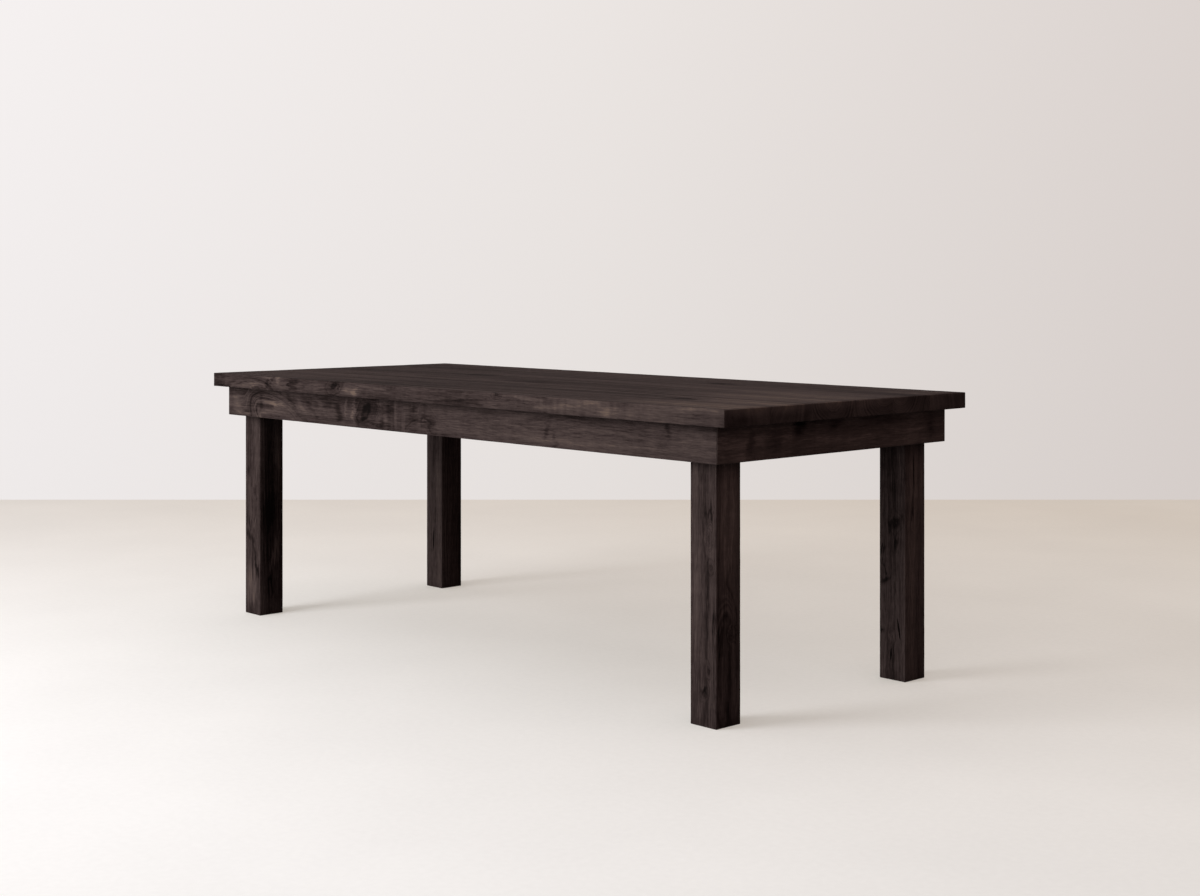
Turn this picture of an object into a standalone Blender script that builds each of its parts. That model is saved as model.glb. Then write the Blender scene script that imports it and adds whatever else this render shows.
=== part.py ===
"""Farmhouse dining table: a plank top on a mitred apron frame, with square legs bolted into its corners.

Run it with  blender --background --python part.py  or from Blender's text editor.
Metres, +Z up. X runs along the table and Y across it, and the front is the long side at -Y.
The origin is on the floor under the middle of the top.
"""

import math

import bmesh
import bpy
from mathutils import Vector

# Overall sizes
TABLE_HEIGHT = 0.762
TOP_LENGTH = 2.220
TOP_WIDTH = 0.940
TOP_THICKNESS = 0.042
END_OVERHANG = 0.047
SIDE_OVERHANG = 0.026
APRON_DEPTH = 0.090
APRON_THICKNESS = 0.038
LEG_SIDE = 0.085

# Fits and finish
FIT = 0.0003
EDGE_EASE = 0.002
EASE_SEGMENTS = 2
ROUND_STEPS = 16
BEND_STEPS = 4

# Plank top, edge joined with loose tongues in stopped grooves
PLANK_COUNT = 6
TONGUE_WIDTH = 0.024
TONGUE_THICKNESS = 0.006
TONGUE_STOP = 0.060

# Loose keys across the apron's mitres
KEY_WIDTH = 0.020
KEY_THICKNESS = 0.006
KEY_EDGE = 0.016

# Cross braces housed in the long aprons
BRACE_COUNT = 2
BRACE_THICKNESS = 0.038
BRACE_RISE = 0.020
HOUSING_DEPTH = 0.010

# Corner blocks, tenoned into the aprons across each leg's planed inner edge
LEG_FLAT = 0.034
BLOCK_STANDOFF = 0.006
BLOCK_THICKNESS = 0.032
BLOCK_RISE = 0.012
BLOCK_HEADROOM = 0.002
TENON_WIDTH = 0.012
TENON_LENGTH = 0.010

# Hanger bolts from the legs through the blocks
BOLT_DIAMETER = 0.008
BOLT_EMBED = 0.048
BOLT_TIP = 0.010
BOLT_CHAMFER = 0.001
BOLT_PROUD = 0.005
BOLT_EDGE = 0.016
BOLT_HOLE_PLAY = 0.0006

# Flanged nuts
NUT_WALL = 0.0025
NUT_HEIGHT = 0.008
FLANGE_RIM = 0.0025
FLANGE_EDGE = 0.0012
FLANGE_HEIGHT = 0.003

# Steel clips that hold the top down and let it move with the seasons
CLIP_WIDTH = 0.022
CLIP_THICKNESS = 0.002
CLIP_TANG = 0.012
CLIP_SETBACK = 0.004
CLIP_PAD = 0.022
CLIP_DROP = 0.012
CLIP_BEND = 0.0015
KERF_PLAY = 0.006

# Pan-head screws through the clips
SCREW_DIAMETER = 0.004
SCREW_LENGTH = 0.022
SCREW_TIP = 0.005
HEAD_DIAMETER = 0.009
HEAD_HEIGHT = 0.003
HEAD_CROWN = 0.0012
DRIVE_SIDE = 0.003
DRIVE_DEPTH = 0.0016

# Places that follow from the sizes above
ROOT2 = math.sqrt(2)
UNDER_Z = TABLE_HEIGHT - TOP_THICKNESS
FRAME_TOP_Z = UNDER_Z - FIT
APRON_LOW_Z = UNDER_Z - APRON_DEPTH
INNER_HALF_LENGTH = TOP_LENGTH / 2 - END_OVERHANG - APRON_THICKNESS
INNER_HALF_WIDTH = TOP_WIDTH / 2 - SIDE_OVERHANG - APRON_THICKNESS
PLANK_PITCH = TOP_WIDTH / PLANK_COUNT
BRACE_LOW_Z = APRON_LOW_Z + BRACE_RISE
BLOCK_LOW_Z = APRON_LOW_Z + BLOCK_RISE
BLOCK_TOP_Z = FRAME_TOP_Z - BLOCK_HEADROOM
BOLT_HEIGHTS = {"lower": BLOCK_LOW_Z + BOLT_EDGE, "upper": BLOCK_TOP_Z - BOLT_EDGE}
# Distances out along a corner's diagonal, from where the aprons' inner faces meet
LEG_FLAT_OUT = ROOT2 * (FIT + LEG_SIDE) - LEG_FLAT / 2
BLOCK_NEAR_OUT = LEG_FLAT_OUT + BLOCK_STANDOFF
BLOCK_FAR_OUT = BLOCK_NEAR_OUT + BLOCK_THICKNESS
NUT_OUT = BLOCK_FAR_OUT + FIT
# Distance along an apron from that same place to the middle of a block's tenon
TENON_ALONG = ROOT2 * (BLOCK_NEAR_OUT + BLOCK_FAR_OUT) / 2 - FIT
SCREW_INWARD = CLIP_SETBACK + (CLIP_THICKNESS + CLIP_PAD) / 2
CLIP_UNDER_Z = UNDER_Z - FIT - CLIP_THICKNESS
SCREW_SEAT_Z = CLIP_UNDER_Z - FIT

# Colour, roughness and metallic value of each finish
FINISHES = {
    "stained_top": ((0.036, 0.026, 0.023), 0.48, 0.0),
    "stained_apron": ((0.035, 0.025, 0.022), 0.5, 0.0),
    "stained_leg": ((0.033, 0.023, 0.020), 0.5, 0.0),
    "stained_brace": ((0.030, 0.021, 0.018), 0.6, 0.0),
    "plain_beech": ((0.52, 0.36, 0.22), 0.7, 0.0),
    "zinc_plated_steel": ((0.62, 0.62, 0.60), 0.35, 1.0),
}

# Corners and sides, each in the order of the quarter turns that carry the first one onto it
CORNERS = ("front_left", "front_right", "back_right", "back_left")
SIDES = ("front", "right", "back", "left")


# Materials


def finish(name):
    colour, roughness, metallic = FINISHES[name]
    material = bpy.data.materials.new(name)
    material.use_nodes = True
    material.diffuse_color = (*colour, 1.0)
    shader = material.node_tree.nodes["Principled BSDF"]
    shader.inputs["Base Color"].default_value = (*colour, 1.0)
    shader.inputs["Roughness"].default_value = roughness
    shader.inputs["Metallic"].default_value = metallic
    return material


# Shapes


def mesh_object(name, bm):
    """A new object at the origin that holds the shape, and is in no collection yet."""
    mesh = bpy.data.meshes.new(name)
    bm.to_mesh(mesh)
    bm.free()
    return bpy.data.objects.new(name, mesh)


def box_shape(low, high):
    low, high = Vector(low), Vector(high)
    bm = bmesh.new()
    bmesh.ops.create_cube(bm, size=1.0)
    bmesh.ops.scale(bm, vec=high - low, verts=bm.verts)
    bmesh.ops.translate(bm, vec=(low + high) / 2, verts=bm.verts)
    return bm


def box(name, low, high):
    return mesh_object(name, box_shape(low, high))


def ease(bm, wanted):
    """Rounds the edges whose middle point passes the test."""
    edges = [edge for edge in bm.edges if wanted((edge.verts[0].co + edge.verts[1].co) / 2)]
    bmesh.ops.bevel(bm, geom=edges, offset=EDGE_EASE, segments=EASE_SEGMENTS, profile=0.5, affect="EDGES")


def saw(bm, point, normal):
    """Cuts away what lies beyond a plane, on its normal's side, and closes the sawn face."""
    everything = bm.verts[:] + bm.edges[:] + bm.faces[:]
    done = bmesh.ops.bisect_plane(bm, geom=everything, plane_co=point, plane_no=normal, clear_outer=True)
    rim = [item for item in done["geom_cut"] if isinstance(item, bmesh.types.BMEdge)]
    bmesh.ops.edgeloop_fill(bm, edges=rim)


def rounded(outline, radii):
    """An outline with its square corners rounded. A radius of 0 leaves a corner as it is."""
    points = []
    for index, radius in enumerate(radii):
        corner = Vector(outline[index])
        back = (Vector(outline[index - 1]) - corner).normalized()
        ahead = (Vector(outline[(index + 1) % len(outline)]) - corner).normalized()
        steps = BEND_STEPS if radius else 0
        for step in range(steps + 1):
            angle = math.pi / 2 * step / max(steps, 1)
            from_back = radius * (1 - math.sin(angle))
            from_ahead = radius * (1 - math.cos(angle))
            points.append(corner + back * from_back + ahead * from_ahead)
    return points


def prism(name, outline, low_z, high_z):
    """A flat outline extruded between two heights."""
    curve = bpy.data.curves.new(name, "CURVE")
    curve.dimensions = "2D"
    curve.fill_mode = "BOTH"
    curve.extrude = (high_z - low_z) / 2
    spline = curve.splines.new("POLY")
    spline.points.add(len(outline) - 1)
    for point, (x, y) in zip(spline.points, outline):
        point.co = (x, y, 0, 1)
    spline.use_cyclic_u = True
    drawn = bpy.data.objects.new(name, curve)
    bm = bmesh.new()
    bm.from_mesh(evaluated_mesh(drawn))
    bpy.data.objects.remove(drawn)
    bmesh.ops.remove_doubles(bm, verts=bm.verts, dist=1e-6)
    bmesh.ops.translate(bm, vec=(0, 0, (low_z + high_z) / 2), verts=bm.verts)
    return mesh_object(name, bm)


def cylinder(name, radius, low_z, high_z, segments=ROUND_STEPS):
    bm = bmesh.new()
    bmesh.ops.create_cone(
        bm, cap_ends=True, segments=segments, radius1=radius, radius2=radius, depth=high_z - low_z
    )
    bmesh.ops.translate(bm, vec=(0, 0, (low_z + high_z) / 2), verts=bm.verts)
    return mesh_object(name, bm)


def turned(name, profile):
    """A solid of revolution about Z. The profile runs down its outer side as (radius, height) points."""
    bm = bmesh.new()
    points = [bm.verts.new((radius, 0, height)) for radius, height in profile]
    for upper, lower in zip(points, points[1:]):
        bm.edges.new((upper, lower))
    lathe = mesh_object(name, bm)
    spin = lathe.modifiers.new("lathe", "SCREW")
    spin.axis = "Z"
    spin.steps = ROUND_STEPS
    spin.render_steps = ROUND_STEPS
    spin.use_merge_vertices = True
    spin.merge_threshold = 1e-6
    return lathe


def combine(target, operand, operation):
    modifier = target.modifiers.new(operand.name, "BOOLEAN")
    modifier.operation = operation
    modifier.object = operand


def cut(target, cutter):
    combine(target, cutter, "DIFFERENCE")


def join(target, other):
    combine(target, other, "UNION")


def evaluated_mesh(shape):
    """The shape's mesh with its modifiers applied. The shape is only in the scene while it is read."""
    operands = [modifier.object for modifier in shape.modifiers if modifier.type == "BOOLEAN"]
    for item in (shape, *operands):
        bpy.context.scene.collection.objects.link(item)
    bpy.context.view_layer.update()
    mesh = bpy.data.meshes.new_from_object(shape.evaluated_get(bpy.context.evaluated_depsgraph_get()))
    for item in (shape, *operands):
        bpy.context.scene.collection.objects.unlink(item)
    return mesh


def finished(shape, material, smooth=False):
    """The shape's final mesh, which any number of pieces may share. Its cutters go with it."""
    mesh = evaluated_mesh(shape)
    mesh.name = shape.name
    mesh.materials.clear()
    mesh.materials.append(material)
    if smooth:
        mesh.shade_smooth()
        mesh.set_sharp_from_angle(angle=math.radians(40))
    for modifier in shape.modifiers:
        if modifier.type == "BOOLEAN":
            bpy.data.objects.remove(modifier.object)
    bpy.data.objects.remove(shape)
    return mesh


# Where pieces go


def empty(name, collection, parent=None, location=(0, 0, 0), quarter_turns=0):
    marker = bpy.data.objects.new(name, None)
    marker.empty_display_size = 0.05
    put(marker, collection, parent, location, quarter_turns)
    return marker


def piece(name, mesh, collection, parent, location=(0, 0, 0), quarter_turns=0):
    placed = bpy.data.objects.new(name, mesh)
    put(placed, collection, parent, location, quarter_turns)
    return placed


def put(item, collection, parent, location, quarter_turns):
    collection.objects.link(item)
    item.parent = parent
    item.location = location
    item.rotation_euler = (0, 0, quarter_turns * math.pi / 2)


def lie_on_diagonal(item, out, height):
    """Turns an item's own Z axis along a corner's diagonal, into the table, and sets where it starts."""
    item.rotation_euler = (math.pi / 2, 0, math.radians(135))
    item.location = (out / ROOT2, out / ROOT2, height)


# The top


def plank_edges(index):
    """A plank's two sides across the table. The outermost sides are the top's own edges."""
    low = index * PLANK_PITCH - TOP_WIDTH / 2 + (FIT / 2 if index > 0 else 0)
    high = (index + 1) * PLANK_PITCH - TOP_WIDTH / 2 - (FIT / 2 if index < PLANK_COUNT - 1 else 0)
    return low, high


def plank_middle(index):
    return (index + 0.5) * PLANK_PITCH - TOP_WIDTH / 2


def seam(index):
    """The line between a plank and the next one."""
    return (index + 1) * PLANK_PITCH - TOP_WIDTH / 2


def tongue_box(name, index, slack):
    half = Vector((TOP_LENGTH / 2 - TONGUE_STOP, TONGUE_WIDTH / 2, TONGUE_THICKNESS / 2))
    half += Vector((slack, slack, slack))
    middle = Vector((0, seam(index), UNDER_Z + TOP_THICKNESS / 2))
    return box(name, middle - half, middle + half)


def plank(index, screw_places):
    """A plank with the edges that lie on the top's rim eased, and with grooves and screw holes."""
    low, high = plank_edges(index)
    bm = box_shape((-TOP_LENGTH / 2, low, UNDER_Z), (TOP_LENGTH / 2, high, TABLE_HEIGHT))

    def on_rim(middle):
        on_end = abs(middle.x) > TOP_LENGTH / 2 - EDGE_EASE and low < middle.y < high
        return on_end or abs(middle.y) > TOP_WIDTH / 2 - EDGE_EASE

    ease(bm, on_rim)
    shape = mesh_object(f"top_plank_{index + 1}", bm)
    for groove in (index - 1, index):
        if 0 <= groove < PLANK_COUNT - 1:
            cut(shape, tongue_box("groove", groove, FIT))
    for x, y in screw_places:
        if low < y < high:
            pilot_end = SCREW_SEAT_Z + SCREW_LENGTH + FIT
            pilot = cylinder("pilot", SCREW_DIAMETER / 2 + FIT, UNDER_Z - FIT, pilot_end)
            pilot.location = (x, y, 0)
            cut(shape, pilot)
    return shape


def make_top(collection, root, wood, tongue_wood, screw_places):
    for index in range(PLANK_COUNT):
        shape = plank(index, screw_places)
        piece(shape.name, finished(shape, wood), collection, root)
    for index in range(PLANK_COUNT - 1):
        tongue = tongue_box(f"top_tongue_{index + 1}", index, 0)
        piece(tongue.name, finished(tongue, tongue_wood), collection, root)


# The apron frame


def brace_places():
    """Where the braces cross the table, evenly spaced between the short aprons."""
    return [INNER_HALF_LENGTH * (2 * (i + 1) / (BRACE_COUNT + 1) - 1) for i in range(BRACE_COUNT)]


def long_clip_places():
    """Where the long aprons' clips are: halfway between the outer braces and the table's ends."""
    middle = (INNER_HALF_LENGTH + max(brace_places())) / 2
    return [-middle, middle]


def short_clip_places():
    """Where a short apron's clip is: under the plank next to the middle, clear of every seam."""
    return [plank_middle(PLANK_COUNT // 2)]


def key_box(name, half_length, slack):
    """A mitre key, or its mortise, at the right end of an apron whose inner face is at Y 0."""
    half = Vector((KEY_WIDTH / 2, KEY_THICKNESS / 2, (FRAME_TOP_Z - APRON_LOW_Z) / 2 - KEY_EDGE))
    half += Vector((slack, slack, slack))
    key = box(name, -half, half)
    key.rotation_euler.z = math.radians(45)
    key.location = (
        half_length + APRON_THICKNESS / 2,
        -APRON_THICKNESS / 2,
        (APRON_LOW_Z + FRAME_TOP_Z) / 2,
    )
    return key


def recess(name, x, width, depth, low_z, high_z):
    """A cutter for what fits into an apron's inner face at Y 0, larger all round by the fit."""
    half = width / 2 + FIT
    return box(name, (x - half, -depth - FIT, low_z - FIT), (x + half, FIT, high_z + FIT))


def apron(name, half_length, brace_xs, clip_xs):
    """An apron board along X with its inner face at Y 0, mitred from half_length at that face."""
    outer = half_length + APRON_THICKNESS
    bm = box_shape((-outer, -APRON_THICKNESS, APRON_LOW_Z), (outer, 0, FRAME_TOP_Z))
    ease(bm, lambda middle: middle.z < APRON_LOW_Z + EDGE_EASE and abs(middle.x) < half_length)
    for side in (-1, 1):
        saw(bm, (side * (half_length - FIT / ROOT2), 0, 0), (side, 1, 0))
        saw(bm, (side * (outer - EDGE_EASE), -APRON_THICKNESS, 0), (side, -1, 0))
    shape = mesh_object(name, bm)
    above = FRAME_TOP_Z
    for side in (-1, 1):
        mortise = key_box("key_mortise", half_length, FIT)
        if side < 0:
            mortise.location.x *= -1
            mortise.rotation_euler.z *= -1
        cut(shape, mortise)
        tenon_x = side * (half_length - TENON_ALONG)
        cut(shape, recess("block_groove", tenon_x, TENON_WIDTH, TENON_LENGTH, BLOCK_LOW_Z, above))
    for x in brace_xs:
        cut(shape, recess("brace_housing", x, BRACE_THICKNESS, HOUSING_DEPTH, BRACE_LOW_Z, above))
    for x in clip_xs:
        tang_top = UNDER_Z - CLIP_DROP
        kerf_width = CLIP_WIDTH + 2 * KERF_PLAY
        cut(shape, recess("clip_kerf", x, kerf_width, CLIP_TANG, tang_top - CLIP_THICKNESS, tang_top))
    return shape


def make_frame(collection, root, sides, wood, brace_wood):
    long_mesh = finished(apron("long_apron", INNER_HALF_LENGTH, brace_places(), long_clip_places()), wood)
    short_mesh = finished(apron("short_apron", INNER_HALF_WIDTH, [], short_clip_places()), wood)
    for side, marker in sides.items():
        mesh = long_mesh if side in ("front", "back") else short_mesh
        piece(f"apron_{side}", mesh, collection, marker)

    reach = INNER_HALF_WIDTH + HOUSING_DEPTH - FIT
    half = BRACE_THICKNESS / 2
    bm = box_shape((-half, -reach, BRACE_LOW_Z), (half, reach, FRAME_TOP_Z))
    ease(bm, lambda middle: abs(middle.y) < EDGE_EASE)
    brace_mesh = finished(mesh_object("cross_brace", bm), brace_wood)
    for number, x in enumerate(brace_places(), start=1):
        piece(f"cross_brace_{number}", brace_mesh, collection, root, (x, 0, 0))


# The corners, drawn for the front left one and turned onto the rest


def leg():
    bm = box_shape((FIT, FIT, 0), (FIT + LEG_SIDE, FIT + LEG_SIDE, FRAME_TOP_Z))
    ease(bm, lambda middle: middle.z < FRAME_TOP_Z - EDGE_EASE)
    shape = mesh_object("leg", bm)
    planed = box("planed_edge", (-LEG_FLAT, 0, BLOCK_LOW_Z), (LEG_FLAT, LEG_FLAT, FRAME_TOP_Z + FIT))
    planed.rotation_euler.z = math.radians(-45)
    planed.location = (LEG_FLAT_OUT / ROOT2, LEG_FLAT_OUT / ROOT2, 0)
    cut(shape, planed)
    for height in BOLT_HEIGHTS.values():
        bore = cylinder("bolt_bore", BOLT_DIAMETER / 2 + FIT, -BOLT_EMBED - FIT, BLOCK_STANDOFF)
        lie_on_diagonal(bore, LEG_FLAT_OUT, height)
        cut(shape, bore)
    return shape


def corner_block():
    """A board across the corner, mitred to both aprons, with a tenon at each end."""
    near, far = (ROOT2 * out - FIT for out in (BLOCK_NEAR_OUT, BLOCK_FAR_OUT))
    body = [(near, FIT), (far, FIT), (FIT, far), (FIT, near)]
    shape = prism("corner_block", body, BLOCK_LOW_Z, BLOCK_TOP_Z)
    side_low, side_high = TENON_ALONG - TENON_WIDTH / 2, TENON_ALONG + TENON_WIDTH / 2
    tip, root = -TENON_LENGTH, 2 * FIT
    join(shape, box("tenon", (side_low, tip, BLOCK_LOW_Z), (side_high, root, BLOCK_TOP_Z)))
    join(shape, box("tenon", (tip, side_low, BLOCK_LOW_Z), (root, side_high, BLOCK_TOP_Z)))
    for height in BOLT_HEIGHTS.values():
        hole = cylinder("bolt_hole", BOLT_DIAMETER / 2 + BOLT_HOLE_PLAY, -FIT, BLOCK_THICKNESS + FIT)
        lie_on_diagonal(hole, BLOCK_NEAR_OUT, height)
        cut(shape, hole)
    return shape


def hanger_bolt():
    """A bolt along Z, pointed at its wood end. Height 0 is where it leaves the leg."""
    radius = BOLT_DIAMETER / 2
    end = NUT_OUT + NUT_HEIGHT + BOLT_PROUD - LEG_FLAT_OUT
    return turned("hanger_bolt", [
        (0, end),
        (radius - BOLT_CHAMFER, end),
        (radius, end - BOLT_CHAMFER),
        (radius, BOLT_TIP - BOLT_EMBED),
        (0, -BOLT_EMBED),
    ])


def flange_nut():
    """A hexagon nut on its flange, which starts at height 0."""
    flat = BOLT_DIAMETER / 2 + NUT_WALL
    hexagon = flat / math.cos(math.radians(30))
    shape = turned("flange_nut", [
        (0, FLANGE_HEIGHT),
        (flat, FLANGE_HEIGHT),
        (flat + FLANGE_RIM, FLANGE_EDGE),
        (flat + FLANGE_RIM, 0),
        (0, 0),
    ])
    join(shape, cylinder("hexagon", hexagon, FLANGE_EDGE, NUT_HEIGHT, segments=6))
    cut(shape, cylinder("thread_bore", BOLT_DIAMETER / 2 + FIT, -FIT, NUT_HEIGHT + FIT))
    return shape


def make_corners(collection, root, wood, block_wood, key_wood, steel):
    leg_mesh = finished(leg(), wood)
    block_mesh = finished(corner_block(), block_wood)
    bolt_mesh = finished(hanger_bolt(), steel, smooth=True)
    nut_mesh = finished(flange_nut(), steel)
    key = key_box("mitre_key", 0, 0)
    key_location = Vector((-APRON_THICKNESS / 2, -APRON_THICKNESS / 2, key.location.z))
    key_mesh = finished(key, key_wood)
    for quarter_turns, corner in enumerate(CORNERS):
        x = -INNER_HALF_LENGTH if corner.endswith("left") else INNER_HALF_LENGTH
        y = -INNER_HALF_WIDTH if corner.startswith("front") else INNER_HALF_WIDTH
        marker = empty(f"corner_{corner}", collection, root, (x, y, 0), quarter_turns)
        piece(f"leg_{corner}", leg_mesh, collection, marker)
        piece(f"corner_block_{corner}", block_mesh, collection, marker)
        placed_key = piece(f"mitre_key_{corner}", key_mesh, collection, marker, key_location)
        placed_key.rotation_euler.z = math.radians(-45)
        for level, height in BOLT_HEIGHTS.items():
            bolt = piece(f"hanger_bolt_{corner}_{level}", bolt_mesh, collection, marker)
            lie_on_diagonal(bolt, LEG_FLAT_OUT, height)
            nut = piece(f"flange_nut_{corner}_{level}", nut_mesh, collection, marker)
            lie_on_diagonal(nut, NUT_OUT, height)


# The clips and their screws


def top_clip():
    """A Z-bent strip along an apron at Y 0: its tang is in the apron, and its pad is under the top."""
    tang_top = UNDER_Z - CLIP_DROP
    tang_low = tang_top - CLIP_THICKNESS
    pad_top = UNDER_Z - FIT
    web_back = CLIP_SETBACK + CLIP_THICKNESS
    pad_end = CLIP_SETBACK + CLIP_PAD
    section = [
        (-CLIP_TANG, tang_low),
        (web_back, tang_low),
        (web_back, CLIP_UNDER_Z),
        (pad_end, CLIP_UNDER_Z),
        (pad_end, pad_top),
        (CLIP_SETBACK, pad_top),
        (CLIP_SETBACK, tang_top),
        (-CLIP_TANG, tang_top),
    ]
    outer_bend = CLIP_BEND + CLIP_THICKNESS
    section = rounded(section, [0, outer_bend, CLIP_BEND, 0, 0, outer_bend, CLIP_BEND, 0])
    strip = prism("top_clip", section, -CLIP_WIDTH / 2, CLIP_WIDTH / 2)
    for vertex in strip.data.vertices:
        along, inward, height = vertex.co.z, vertex.co.x, vertex.co.y
        vertex.co = (along, inward, height)
    hole = cylinder("screw_hole", SCREW_DIAMETER / 2 + FIT, CLIP_UNDER_Z - FIT, UNDER_Z)
    hole.location.y = SCREW_INWARD
    cut(strip, hole)
    return strip


def clip_screw():
    """A pan-head screw that points up. Height 0 is under its head's rim, against the clip."""
    shank, head = SCREW_DIAMETER / 2, HEAD_DIAMETER / 2
    shape = turned("clip_screw", [
        (0, SCREW_LENGTH),
        (shank, SCREW_LENGTH - SCREW_TIP),
        (shank, 0),
        (head, 0),
        (head, HEAD_CROWN - HEAD_HEIGHT),
        (head - HEAD_CROWN, -HEAD_HEIGHT),
        (0, -HEAD_HEIGHT),
    ])
    half = DRIVE_SIDE / 2
    drive_end = DRIVE_DEPTH - HEAD_HEIGHT
    cut(shape, box("square_drive", (-half, -half, -HEAD_HEIGHT - FIT), (half, half, drive_end)))
    return shape


def clip_places():
    """Each clip as its side and its distance along that side's apron."""
    long_sides = [(side, x) for side in ("front", "back") for x in long_clip_places()]
    short_sides = [(side, x) for side in ("left", "right") for x in short_clip_places()]
    return long_sides + short_sides


def make_clips(collection, sides, steel):
    """Fits the clips and screws and returns where the screws enter the top, as X and Y."""
    clip_mesh = finished(top_clip(), steel)
    screw_mesh = finished(clip_screw(), steel, smooth=True)
    screw_places = []
    for number, (side, along) in enumerate(clip_places(), start=1):
        marker = sides[side]
        screw_place = (along, SCREW_INWARD, SCREW_SEAT_Z)
        piece(f"top_clip_{number}", clip_mesh, collection, marker, (along, 0, 0))
        screw = piece(f"clip_screw_{number}", screw_mesh, collection, marker, screw_place)
        bpy.context.view_layer.update()
        screw_places.append(screw.matrix_world.translation.xy)
    return screw_places


def make_sides(collection, root):
    """An empty at the middle of each apron's inner face, with its Y axis into the table."""
    sides = {}
    for quarter_turns, side in enumerate(SIDES):
        angle = quarter_turns * math.pi / 2
        place = (INNER_HALF_LENGTH * math.sin(angle), -INNER_HALF_WIDTH * math.cos(angle), 0)
        sides[side] = empty(f"side_{side}", collection, root, place, quarter_turns)
    return sides


def main():
    for item in list(bpy.data.objects):
        bpy.data.objects.remove(item)
    collection = bpy.data.collections.new("farmhouse_dining_table")
    bpy.context.scene.collection.children.link(collection)
    top_wood = finish("stained_top")
    apron_wood = finish("stained_apron")
    leg_wood = finish("stained_leg")
    brace_wood = finish("stained_brace")
    plain_wood = finish("plain_beech")
    steel = finish("zinc_plated_steel")
    root = empty("table", collection)
    sides = make_sides(collection, root)
    screw_places = make_clips(collection, sides, steel)
    make_top(collection, root, top_wood, plain_wood, screw_places)
    make_frame(collection, root, sides, apron_wood, brace_wood)
    make_corners(collection, root, leg_wood, brace_wood, plain_wood, steel)


main()
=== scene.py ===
"""Looks of the farmhouse dining table: dark stained knotty wood, zinc-plated fittings and a pale studio.

Metres, +Z up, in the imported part's own frame. X runs along the table, and its front faces -Y.
"""

import math
from dataclasses import dataclass

import bmesh
import bpy
from mathutils import Matrix, Vector, noise


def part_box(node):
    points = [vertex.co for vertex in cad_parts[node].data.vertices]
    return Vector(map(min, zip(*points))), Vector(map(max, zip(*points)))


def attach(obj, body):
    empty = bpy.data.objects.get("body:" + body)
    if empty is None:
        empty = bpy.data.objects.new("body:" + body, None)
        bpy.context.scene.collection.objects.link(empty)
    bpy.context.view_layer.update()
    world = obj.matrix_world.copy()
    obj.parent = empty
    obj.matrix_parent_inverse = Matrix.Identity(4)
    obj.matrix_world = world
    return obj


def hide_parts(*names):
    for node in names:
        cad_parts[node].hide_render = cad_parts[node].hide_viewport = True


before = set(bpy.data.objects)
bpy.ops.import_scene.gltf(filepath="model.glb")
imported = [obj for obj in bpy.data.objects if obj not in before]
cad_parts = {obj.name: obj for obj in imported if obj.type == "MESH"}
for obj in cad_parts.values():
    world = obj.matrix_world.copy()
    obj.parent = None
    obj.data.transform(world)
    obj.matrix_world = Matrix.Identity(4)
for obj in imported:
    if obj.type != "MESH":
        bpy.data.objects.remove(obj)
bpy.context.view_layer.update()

# The photograph's camera, which is level: its frame, focal length and horizon in pixels, and its place
IMAGE_WIDTH = 1200
IMAGE_HEIGHT = 896
FOCAL_PIXELS = 1797.9
HORIZON_ROW = 277.6
CAMERA_PLACE = Vector((3.923, -3.504, 1.066))
CAMERA_AZIMUTH = math.radians(46.79)
SENSOR_WIDTH = 36.0

AXIS_X = Vector((1, 0, 0))
AXIS_Y = Vector((0, 1, 0))
AXIS_Z = Vector((0, 0, 1))

# The least cosine at which two directions count as the same
ALIGNED = 0.9

# Each face as its normal and the direction to the right as it is seen
FACES = {
    "front": (-AXIS_Y, AXIS_X),
    "right": (AXIS_X, AXIS_Y),
    "back": (AXIS_Y, -AXIS_X),
    "left": (-AXIS_X, -AXIS_Y),
    "top": (AXIS_Z, AXIS_X),
}


# Shader nodes

# The numbers of a Mix node's sockets for colours
MIX_INPUTS = (0, 6, 7)
MIX_RESULT = 2

NOISE_MIDDLE = 0.5


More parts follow.
